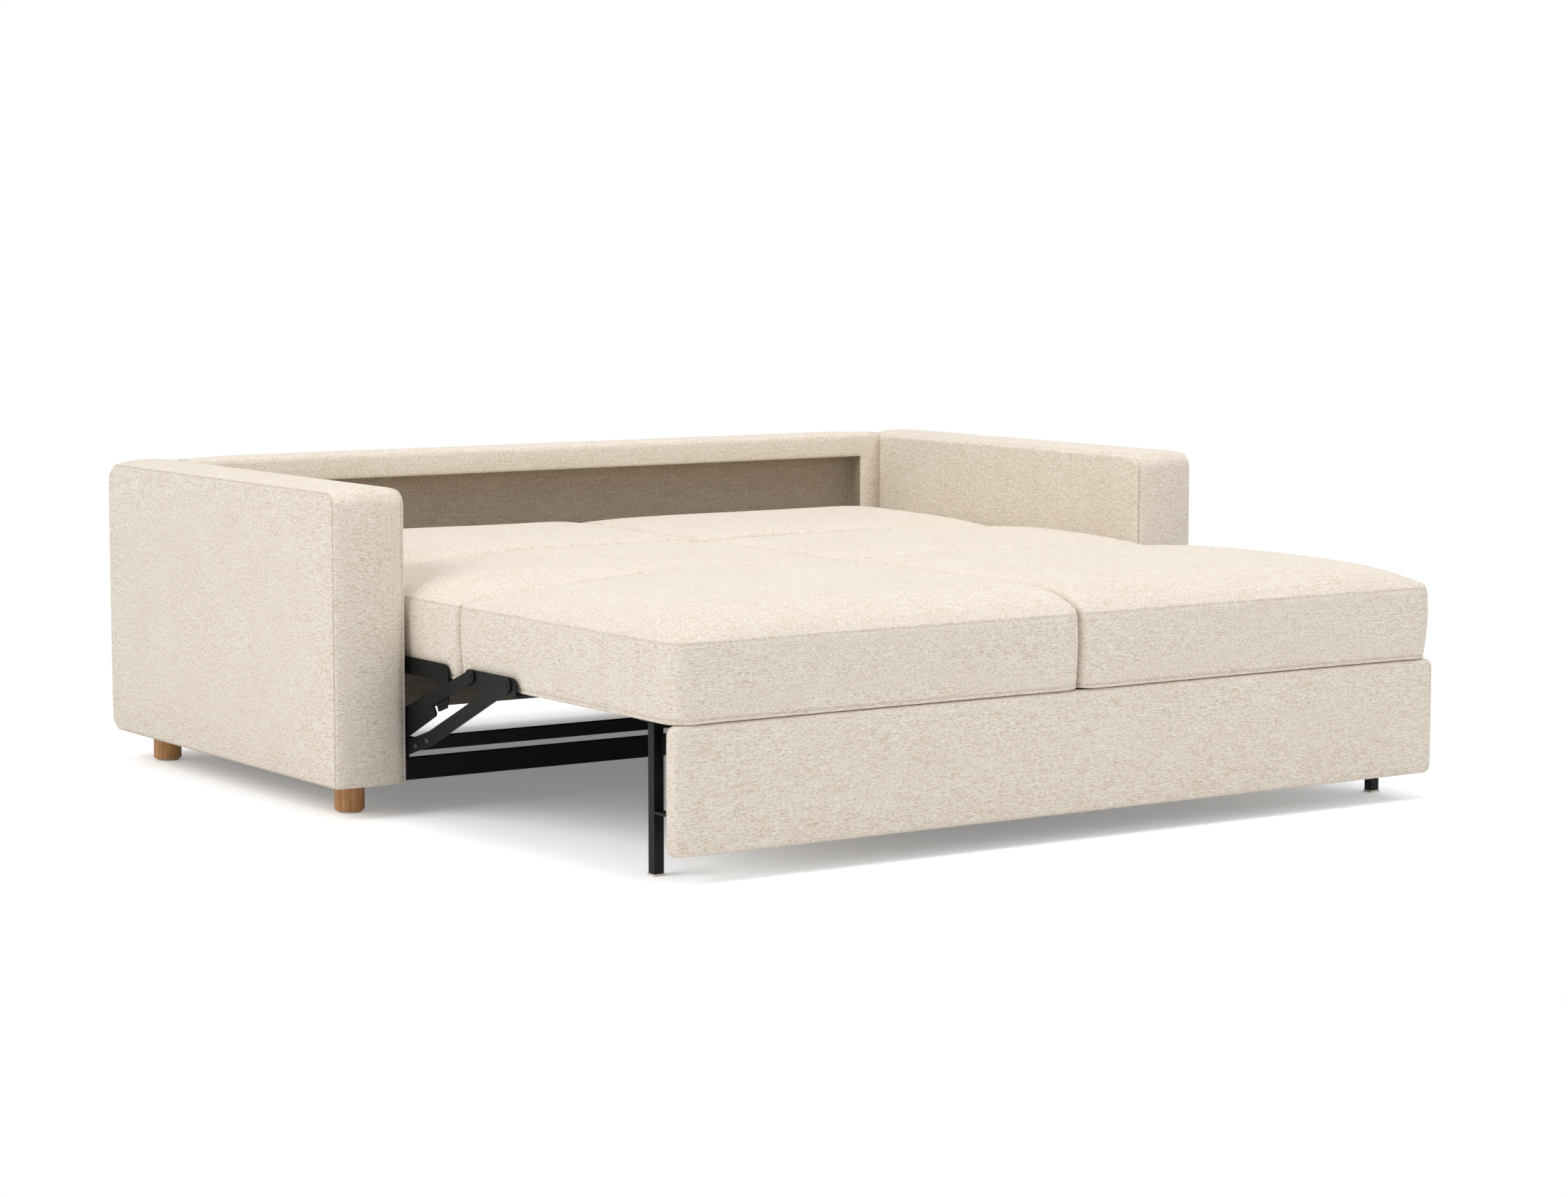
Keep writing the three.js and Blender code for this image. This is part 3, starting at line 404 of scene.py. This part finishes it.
niche_high = Vector((high[0] - stile_width, 0.0, niche_ceiling))
for vert in front_face.verts:
    vert.co.x = niche_low.x if vert.co.x < 0 else niche_high.x
    vert.co.z = niche_low.z if vert.co.z < middle.z else niche_high.z
pushed = bmesh.ops.extrude_face_region(bm, geom=[front_face])
deep = [g for g in pushed["geom"] if isinstance(g, bmesh.types.BMVert)]
bmesh.ops.translate(bm, vec=(0.0, niche_depth, 0.0), verts=deep)
bmesh.ops.delete(bm, geom=[front_face], context="FACES_ONLY")
top_rear = [e for e in bm.edges if all(
    v.co.y > back_y - 1e-5 and v.co.z > top_z - 1e-5 for v in e.verts)]
bevel_edges(bm, top_rear, rail_rear_radius, 8)
top_front = [e for e in bm.edges if all(
    v.co.y < front_y + 1e-5 and v.co.z > top_z - 1e-5 for v in e.verts)]
bevel_edges(bm, top_front, rail_front_radius, 4)
mouth = [e for e in bm.edges if all(
    abs(v.co.y - front_y) < 1e-5 and niche_low.x - 1e-4 < v.co.x < niche_high.x + 1e-4
    and niche_low.z - 1e-4 < v.co.z < niche_high.z + 1e-4 for v in e.verts)]
bevel_edges(bm, mouth, niche_mouth_radius, 3)
cut_into_grid(bm, 0, even_places(low[0], high[0], back_step))
cut_into_grid(bm, 2, even_places(low[2], top_z - 0.034, back_step))
cut_into_grid(bm, 1, even_places(front_y + rail_front_radius, back_y - rail_rear_radius, 0.012))
for vert in bm.verts:
    p = vert.co
    along = (p.x - low[0]) / (high[0] - low[0])
    fullness = smoothstep(along * 14) * smoothstep((1 - along) * 14)
    if p.z > top_z - 0.002:
        p.z += back_swell * fullness * math.sin(math.pi * (p.y - front_y) / span.y)
    if p.y > back_y - 0.002:
        height = (p.z - low[2]) / span.z
        p.y += back_swell * fullness * max(0.0, math.sin(math.pi * height))
back = finish_piece("padded_back", bm, "sofa_frame", "upholstery_cloth", melange_cloth, "back_frame")
# the niche's faces get a darker copy of the cloth: painted shade for the shade deep in the niche
niche_painted_shade_cloth = make_melange_cloth(
    "niche_painted_shade_cloth", ("#857463", "#998977", "#a59583", "#ae9f8e", "#b9ab9b"))
back.data.materials.append(niche_painted_shade_cloth)
for polygon in back.data.polygons:
    inside = (niche_low.x - 0.002 < polygon.center.x < niche_high.x + 0.002
              and niche_low.z - 0.002 < polygon.center.z < niche_high.z + 0.002)
    if inside and polygon.center.y > front_y + 0.004 and polygon.center.y < back_y - 0.01:
        polygon.material_index = 1


# Mattress cushions
# Six foam cushions in sewn covers: a crowned top panel and an upright boxing band
# that meet in a seam along the top edge, with another seam near the underside.
# They press against each other, so the crown hardly dips where two of them meet.
cushion_edge_z = 0.434
crown_kept_at_split = 0.95
crown_kept_at_side = 0.30  # a row's pressed edge sinks towards the bed's open side
pressed_inset_share = 0.35
corner_radius, seat_corner_radius = 0.013, 0.042
cover_step = 0.020
seam_pull = 0.004  # how far the band is drawn in midway between two corners
band_swell = 0.004
band_taper, front_band_taper = 0.005, 0.002  # how far the band leans in at its foot
foot_sag = 0.003
split_corner_lift, split_corner_reach = 0.004, 0.024


def crown_share(place, pressed, kept=crown_kept_at_split):
    """How much of the crown is left at a place from 0, the middle, to 1, the edge."""
    return 1 - (1 - kept) * place ** 3 if pressed else 1 - place ** 8


def make_cushion(name, row_name, node, front_outer_radius):
    """One crowned cushion with its boxing band and its two seams, in place of a CAD node."""
    low, high = (Vector(corner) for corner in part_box(node))
    left = low.x < -0.1
    edge_z = cushion_edge_z
    crown = high.z - edge_z - 0.003
    half = (high - low) / 2
    centre = (high + low) / 2
    meets_front = row_name != "seat"
    meets_rear = row_name != "rear"
    bm = bmesh.new()
    sewn = bm.verts.layers.float.new("sewn")
    columns = round(2 * half.x / cover_step)
    rows = round(2 * half.y / cover_step)
    bmesh.ops.create_grid(bm, x_segments=columns, y_segments=rows, size=0.5)
    bmesh.ops.scale(bm, vec=(2 * half.x, 2 * half.y, 1.0), verts=bm.verts)
    outer_sign = -1.0 if left else 1.0

    def radius_at(u, v):
        return front_outer_radius if (u * outer_sign > 0 and v < 0) else corner_radius

    def outward_at(p, radius):
        core = Vector((min(max(p.x, radius - half.x), half.x - radius),
                       min(max(p.y, radius - half.y), half.y - radius), 0.0))
        return core, Vector((p.x - core.x, p.y - core.y, 0.0))

    for vert in bm.verts:
        core, outward = outward_at(vert.co, radius_at(vert.co.x, vert.co.y))
        if abs(outward.x) > 1e-9 and abs(outward.y) > 1e-9:
            reach = max(abs(outward.x), abs(outward.y))
            vert.co = core + outward.normalized() * reach
    for vert in bm.verts:
        u, v = vert.co.x / half.x, vert.co.y / half.y
        sunk = smoothstep(u * outer_sign + 0.1)
        kept = crown_kept_at_split - (crown_kept_at_split - crown_kept_at_side) * sunk
        rise = (crown_share(abs(u), u * outer_sign < 0)
                * crown_share(abs(v), meets_rear if v > 0 else meets_front, kept))
        vert.co.z = edge_z + crown * max(rise, 0.0)
    rim = [e for e in bm.edges if e.is_boundary]
    edge_places = {}
    for vert in {v for e in rim for v in e.verts}:
        core, outward = outward_at(vert.co, radius_at(vert.co.x, vert.co.y))
        outward.normalize()
        pressed = (outward.x * outer_sign < -0.5 or (meets_rear and outward.y > 0.5)
                   or (meets_front and outward.y < -0.5))
        outward *= pressed_inset_share if pressed else 1.0
        edge_places[vert] = (vert.co.copy(), outward)
        vert.co -= outward * 0.0055
        vert.co.z -= 0.0015
    # from the top edge down: inset from the outline, height, and how far it is a sewn line, drawn darker
    # for its thread and painted shade in its groove
    wall = ((0.0022, edge_z - 0.0040, 0.0), (0.0032, edge_z - 0.0072, 0.8),
            (0.0, edge_z - 0.0105, 0.0), (0.0, edge_z - 0.020, 0.0), (0.0, edge_z - 0.040, 0.0),
            (0.0, edge_z - 0.063, 0.0), (0.0, edge_z - 0.086, 0.0), (0.0, edge_z - 0.108, 0.0),
            (0.0, low.z + 0.018, 0.0), (0.0, low.z + 0.014, 0.0), (0.0034, low.z + 0.0105, 1.0),
            (-0.0012, low.z + 0.0075, 0.0), (0.0004, low.z + 0.0035, 0.0), (0.009, low.z, 0.0))
    for inset, z, thread_and_shade_share in wall:
        extruded = bmesh.ops.extrude_edge_only(bm, edges=rim)["geom"]
        rim = [g for g in extruded if isinstance(g, bmesh.types.BMEdge) and g.is_boundary]
        lower_places = {}
        for vert in {v for e in rim for v in e.verts}:
            above = next(e.other_vert(vert) for e in vert.link_edges
                         if e.other_vert(vert) in edge_places)
            place, outward = edge_places[above]
            lower_places[vert] = (place, outward)
            vert.co = place - outward * inset
            vert.co.z = z
            vert[sewn] = thread_and_shade_share
        edge_places = lower_places
    bmesh.ops.edgenet_fill(bm, edges=rim)
    # the boxing band swells between its two seams and pulls in between its corners
    for vert in bm.verts:
        p = vert.co
        u, v = p.x / half.x, p.y / half.y
        height = min(max((p.z - low.z) / (edge_z - low.z), 0.0), 1.0)
        swell = math.sin(math.pi * height ** 1.2)
        taper = (1 - height) ** 1.3
        near_x = smoothstep((abs(u) - 0.80) / 0.2)
        near_y = smoothstep((abs(v) - 0.80) / 0.2)
        pull_x, pull_y = seam_pull * (1 - v * v), seam_pull * (1 - u * u)
        if u * outer_sign > 0:
            pull_x += band_taper * taper - band_swell * swell
        if row_name == "seat" and v < 0:
            pull_y += front_band_taper * taper - band_swell * swell
        p.x -= math.copysign(1.0, p.x) * pull_x * near_x
        p.y -= math.copysign(1.0, p.y) * pull_y * near_y
        # the cover hangs over the frame's edge, and its lower corners at the split are rounded
        sag = smoothstep((u * outer_sign - 0.84) / 0.08)
        if row_name == "seat":
            sag = max(sag, 0.7 * smoothstep((-v - 0.84) / 0.08))
        p.z -= foot_sag * sag * smoothstep(1 - (p.z - low.z) / 0.05)
        corner = Vector((half.x - abs(p.x), half.y - abs(p.y))).length
        if p.z < low.z + 0.05 and u * outer_sign < 0:
            rounding = smoothstep(1 - corner / split_corner_reach)
            p.z += split_corner_lift * rounding * (1 - (p.z - low.z) / 0.05)
    bmesh.ops.translate(bm, vec=(centre.x, centre.y, 0.0), verts=bm.verts)
    return finish_piece(name, bm, row_name + "_section", "upholstery_cloth", melange_cloth, node)


simulated_frames = 10


def puff_cover(piece, cap):
    """Blows the top panel up a little, and keeps the band, the seams and the underside in place."""
    rest = [v.co.copy() for v in piece.data.vertices]
    held = piece.vertex_groups.new(name="held")
    low = [min(v[axis] for v in rest) for axis in (0, 1)]
    high = [max(v[axis] for v in rest) for axis in (0, 1)]
    for vert in piece.data.vertices:
        inward = min(min(vert.co[axis] - low[axis], high[axis] - vert.co[axis]) for axis in (0, 1))
        top = smoothstep((vert.co.z - cushion_edge_z) / 0.02) * smoothstep((inward - 0.01) / 0.05)
        held.add([vert.index], 1.0 - top, "REPLACE")
    cover = piece.modifiers.new("cover", "CLOTH")
    cover.settings.quality = 4
    cover.settings.use_pressure = True
    cover.settings.uniform_pressure_force = 4.0
    cover.settings.vertex_group_mass = "held"
    cover.settings.effector_weights.gravity = 0.0
    cover.settings.tension_stiffness = 22.0
    cover.settings.compression_stiffness = 22.0
    cover.settings.bending_stiffness = 6.0
    scene = bpy.context.scene
    for frame_number in range(1, simulated_frames + 1):
        scene.frame_set(frame_number)
    blown = piece.evaluated_get(bpy.context.evaluated_depsgraph_get()).to_mesh()
    moved = [v.co.copy() for v in blown.vertices]
    piece.evaluated_get(bpy.context.evaluated_depsgraph_get()).to_mesh_clear()
    piece.modifiers.remove(cover)
    piece.vertex_groups.clear()
    scene.frame_set(1)
    for vert, start, end in zip(piece.data.vertices, rest, moved):
        shift = end - start
        if shift.length > cap:
            shift = shift.normalized() * cap
        vert.co = start + shift


hollow_depth, ripple_depth = 0.0022, 0.0007


def soften_cover(piece, seed):
    """Slow hollows in the foam, and a rounded cover."""
    for vert in piece.data.vertices:
        p = vert.co
        if p.z > cushion_edge_z + 0.001:
            p.z += hollow_depth * noise.noise(Vector((p.x * 3.4, p.y * 3.4, seed)))
            p.z += ripple_depth * noise.noise(Vector((p.x * 14.0, p.y * 14.0, seed + 5)))
    rounding = piece.modifiers.new("rounding", "SUBSURF")
    rounding.levels = 1
    rounding.render_levels = 1


largest_move = 0.006
seed = 1.0
for row, radius in (("rear", corner_radius), ("middle", corner_radius), ("seat", seat_corner_radius)):
    for side in ("left", "right"):
        cushion = make_cushion(f"{row}_foam_cushion_{side}", row, f"{row}_cushion_{side}", radius)
        puff_cover(cushion, largest_move)
        soften_cover(cushion, seed)
        if row == "middle":
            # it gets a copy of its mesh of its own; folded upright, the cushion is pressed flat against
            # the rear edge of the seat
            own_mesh(cushion)
        seed += 3.0


# Front panel
# A board padded on its face and edges and covered in the same cloth, screwed to
# the flats of the front legs, so it travels with the seat.
panel_corner_radius, panel_face_radius, panel_back_radius = 0.016, 0.011, 0.004
panel_face_swell, panel_end_swell = 0.003, 0.0012
panel_end_inset, panel_top_rise = 0.002, 0.0024
panel_hollow_depth = 0.0007
low, high = (Vector(corner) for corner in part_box("front_panel"))
high += Vector((-panel_end_inset, 0.0, panel_top_rise))
low.x += panel_end_inset
bm = bmesh.new()
bmesh.ops.create_cube(bm, size=1.0)
bmesh.ops.scale(bm, vec=high - low, verts=bm.verts)
bmesh.ops.translate(bm, vec=(high + low) / 2, verts=bm.verts)
upright_corners = [e for e in bm.edges if abs(e.verts[0].co.y - e.verts[1].co.y) > 0.01]
bevel_edges(bm, upright_corners, panel_corner_radius, 6)
face_rim = [e for e in bm.edges if all(v.co.y < low.y + 1e-5 for v in e.verts)]
bevel_edges(bm, face_rim, panel_face_radius, 5)
back_rim = [e for e in bm.edges if all(v.co.y > high.y - 1e-5 for v in e.verts)]
bevel_edges(bm, back_rim, panel_back_radius, 2)
cut_into_grid(bm, 0, even_places(low.x + panel_corner_radius, high.x - panel_corner_radius, 0.03))
cut_into_grid(bm, 2, even_places(low.z + panel_corner_radius, high.z - panel_corner_radius, 0.02))
for vert in bm.verts:
    p = vert.co
    if abs(p.x) > high.x - 0.003:
        height = (p.z - low.z) / (high.z - low.z)
        p.x += math.copysign(panel_end_swell, p.x) * math.sin(math.pi * height)
    if p.y < low.y + 0.002:
        across = (p.x - low.x) / (high.x - low.x)
        height = (p.z - low.z) / (high.z - low.z)
        swell = smoothstep(across * 12) * smoothstep((1 - across) * 12) * math.sin(math.pi * height)
        p.y -= panel_face_swell * swell
        p.y -= panel_hollow_depth * noise.noise(Vector((p.x * 4.0, 3.0, p.z * 4.0))) * swell
panel = finish_piece("padded_front_panel", bm, "seat_section", "upholstery_cloth", melange_cloth,
                     "front_panel")


# Steel linkage, frames and rails
# Mild steel tube and strip, welded or riveted and powder coated black: a
# semi-matt skin with a faint orange peel and slightly worn, greyer patches.
def dress(material, *nodes):
    """Gives CAD nodes a finish."""
    for node in nodes:
        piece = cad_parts[node]
        piece.data.materials.clear()
        piece.data.materials.append(material)


def both(*names):
    """The left and right node of each name."""
    return [f"{name}_{side}" for name in names for side in ("left", "right")]


peel_bumps_per_metre = 900.0  # orange peel of about 1.1 mm, as on real powder coat
worn_patches_per_metre = 9.0
black_coat = bpy.data.materials.new("black_powder_coat")
black_coat.use_nodes = True
tree = black_coat.node_tree
tree.nodes.clear()
place = add_node(tree, "ShaderNodeTexCoord")
peel = add_node(tree, "ShaderNodeTexNoise",
                inputs={"Vector": place.outputs["Object"], "Scale": peel_bumps_per_metre,
                        "Detail": 2.0})
patches = add_node(tree, "ShaderNodeTexNoise",
                   inputs={"Vector": place.outputs["Object"], "Scale": worn_patches_per_metre,
                           "Detail": 4.0})
tone = add_node(tree, "ShaderNodeValToRGB", inputs={0: patches.outputs["Fac"]})
tone.color_ramp.elements[0].position = 0.35
tone.color_ramp.elements[0].color = linear("#0a0b0c")
tone.color_ramp.elements[1].position = 0.75
tone.color_ramp.elements[1].color = linear("#151617")
gloss = add_node(tree, "ShaderNodeMapRange",
                 inputs={"Value": patches.outputs["Fac"], "To Min": 0.42, "To Max": 0.56})
skin = add_node(tree, "ShaderNodeBump",
                inputs={"Height": peel.outputs["Fac"], "Strength": 0.12, "Distance": 0.0004})
coat = add_node(tree, "ShaderNodeBsdfPrincipled",
                inputs={"Base Color": tone.outputs[0], "Roughness": gloss.outputs[0],
                        "Normal": skin.outputs[0], "Specular IOR Level": 0.18})
add_node(tree, "ShaderNodeOutputMaterial", inputs={"Surface": coat.outputs[0]})
dress(black_coat, "base_rail", "rear_section_frame", "middle_section_frame", "seat_section_frame",
      "carriage", *both("track", "middle_side_plate", "seat_side_plate", "front_leg",
                        "front_bar", "rear_bar", "carriage_gusset"))


# Rivet heads
# Domed heads of burnished steel over the two rivets near the crank of each front
# bar, brighter than the coat where the tool has rubbed them.
rub_marks_per_metre = 500.0  # marks of about 2 mm
burnished = bpy.data.materials.new("burnished_steel")
burnished.use_nodes = True
tree = burnished.node_tree
tree.nodes.clear()
place = add_node(tree, "ShaderNodeTexCoord")
rub = add_node(tree, "ShaderNodeTexNoise",
               inputs={"Vector": place.outputs["Object"], "Scale": rub_marks_per_metre})
rubbed = add_node(tree, "ShaderNodeMapRange",
                  inputs={"Value": rub.outputs["Fac"], "To Min": 0.26, "To Max": 0.44})
head = add_node(tree, "ShaderNodeBsdfPrincipled",
                inputs={"Base Color": linear("#66676a"), "Metallic": 1.0, "Roughness": rubbed.outputs[0]})
add_node(tree, "ShaderNodeOutputMaterial", inputs={"Surface": head.outputs[0]})
rivet_height = 0.0008
rivet_places = ((-0.1287, 0.1586), (-0.0828, 0.1424))
bar_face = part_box("front_bar_right")[1][0] - rivet_height
# reach from the rivet's axis and rise above the bar, from the crown to the rim
rivet_head = ((0.0, 0.00100), (0.0022, 0.00098), (0.0040, 0.00093),
              (0.0052, 0.00085), (0.0058, 0.00045), (0.0060, 0.0))
for side, sign in (("left", -1.0), ("right", 1.0)):
    bm = bmesh.new()
    for y, z in rivet_places:
        dome = [bm.verts.new((sign * (bar_face + rise), y, z + reach)) for reach, rise in rivet_head]
        arc = [bm.edges.new(pair) for pair in zip(dome, dome[1:])]
        bmesh.ops.spin(bm, geom=dome + arc, cent=(0.0, y, z), axis=(1.0, 0.0, 0.0),
                       angle=2 * math.pi, steps=20, use_merge=True, use_duplicate=False)
    bmesh.ops.remove_doubles(bm, verts=bm.verts, dist=1e-6)
    finish_piece("linkage_rivet_heads_" + side, bm, "seat_section", "zinc_steel", burnished)


# Hinges and pivots
# Pressed steel leaves and turned pins, zinc plated: a cool grey with a fine
# directional grain from rolling.
rolling_grain = (40.0, 900.0, 900.0)  # streaks per metre: 25 mm long and about 1 mm wide
zinc = bpy.data.materials.new("zinc_plate")
zinc.use_nodes = True
tree = zinc.node_tree
tree.nodes.clear()
place = add_node(tree, "ShaderNodeTexCoord")
rolled = add_node(tree, "ShaderNodeMapping",
                  inputs={"Vector": place.outputs["Object"], "Scale": rolling_grain})
grain = add_node(tree, "ShaderNodeTexNoise",
                 inputs={"Vector": rolled.outputs[0], "Scale": 1.0, "Detail": 2.0})
tone = add_node(tree, "ShaderNodeValToRGB", inputs={0: grain.outputs["Fac"]})
tone.color_ramp.elements[0].color = linear("#8d9092")
tone.color_ramp.elements[1].color = linear("#b4b6b8")
plate = add_node(tree, "ShaderNodeBsdfPrincipled",
                 inputs={"Base Color": tone.outputs[0], "Metallic": 1.0, "Roughness": 0.38})
add_node(tree, "ShaderNodeOutputMaterial", inputs={"Surface": plate.outputs[0]})
dress(zinc, *both("rear_pivot_pin", "rear_pivot_plate", "crest_hinge_forward_leaf",
                  "crest_hinge_rear_leaf", "crest_hinge_pin", "seam_hinge_forward_leaf",
                  "seam_hinge_rear_leaf", "seam_hinge_pin"))


# Wooden feet
# Turned solid oak with an oiled finish: a warm honey brown with upright grain
# lines and short open pores.
grain_lines_per_metre, pores_per_metre = 230.0, 900.0
upright_stretch = (1.0, 1.0, 0.09)
# The lines come out about 4 mm apart. Real pores are 0.3 mm wide, and are drawn
# 1 mm wide and 12 mm long so they show.
oak = bpy.data.materials.new("oiled_oak")
oak.use_nodes = True
tree = oak.node_tree
tree.nodes.clear()
place = add_node(tree, "ShaderNodeTexCoord")
along_grain = add_node(tree, "ShaderNodeMapping",
                       inputs={"Vector": place.outputs["Object"], "Scale": upright_stretch})
rings = add_node(tree, "ShaderNodeTexNoise",
                 inputs={"Vector": along_grain.outputs[0], "Scale": grain_lines_per_metre,
                         "Detail": 4.0, "Roughness": 0.6, "Distortion": 0.4})
pores = add_node(tree, "ShaderNodeTexNoise",
                 inputs={"Vector": along_grain.outputs[0], "Scale": pores_per_metre, "Detail": 1.0})
tone = add_node(tree, "ShaderNodeValToRGB", inputs={0: rings.outputs["Fac"]})
tone.color_ramp.elements[0].position = 0.32
tone.color_ramp.elements[0].color = linear("#a5713f")
tone.color_ramp.elements[1].position = 0.68
tone.color_ramp.elements[1].color = linear("#cf9d66")
relief = add_node(tree, "ShaderNodeBump",
                  inputs={"Height": pores.outputs["Fac"], "Strength": 0.25, "Distance": 0.0005})
timber = add_node(tree, "ShaderNodeBsdfPrincipled",
                  inputs={"Base Color": tone.outputs[0], "Roughness": 0.5, "Normal": relief.outputs[0]})
add_node(tree, "ShaderNodeOutputMaterial", inputs={"Surface": timber.outputs[0]})
dress(oak, *both("foot_front", "foot_rear"))


# Glides and rollers
# Injection-moulded nylon: ivory glides under the feet and legs, and black
# rollers, both with a fine moulded texture.
mould_grain_per_metre = 1400.0  # grain of about 0.7 mm
sheen_patches_per_metre = 60.0


def make_moulded(name, colour, roughness):
    """Moulded plastic, a touch duller and glossier in places."""
    material = bpy.data.materials.new(name)
    material.use_nodes = True
    tree = material.node_tree
    tree.nodes.clear()
    place = add_node(tree, "ShaderNodeTexCoord")
    texture = add_node(tree, "ShaderNodeTexNoise",
                       inputs={"Vector": place.outputs["Object"], "Scale": mould_grain_per_metre,
                               "Detail": 1.0})
    shade = add_node(tree, "ShaderNodeTexNoise",
                     inputs={"Vector": place.outputs["Object"], "Scale": sheen_patches_per_metre,
                             "Detail": 2.0})
    dull = add_node(tree, "ShaderNodeMapRange",
                    inputs={"Value": shade.outputs["Fac"], "To Min": roughness - 0.06,
                            "To Max": roughness + 0.06})
    fine = add_node(tree, "ShaderNodeBump",
                    inputs={"Height": texture.outputs["Fac"], "Strength": 0.15, "Distance": 0.0003})
    nylon = add_node(tree, "ShaderNodeBsdfPrincipled",
                     inputs={"Base Color": linear(colour), "Roughness": dull.outputs[0],
                             "Normal": fine.outputs[0]})
    add_node(tree, "ShaderNodeOutputMaterial", inputs={"Surface": nylon.outputs[0]})
    return material


dress(make_moulded("ivory_nylon", "#dcd6c6", 0.5), *both("foot_glide_front", "foot_glide_rear",
                                                        "front_leg_glide"))
dress(make_moulded("black_nylon", "#1d1d1e", 0.55), *both("front_roller", "rear_roller"))
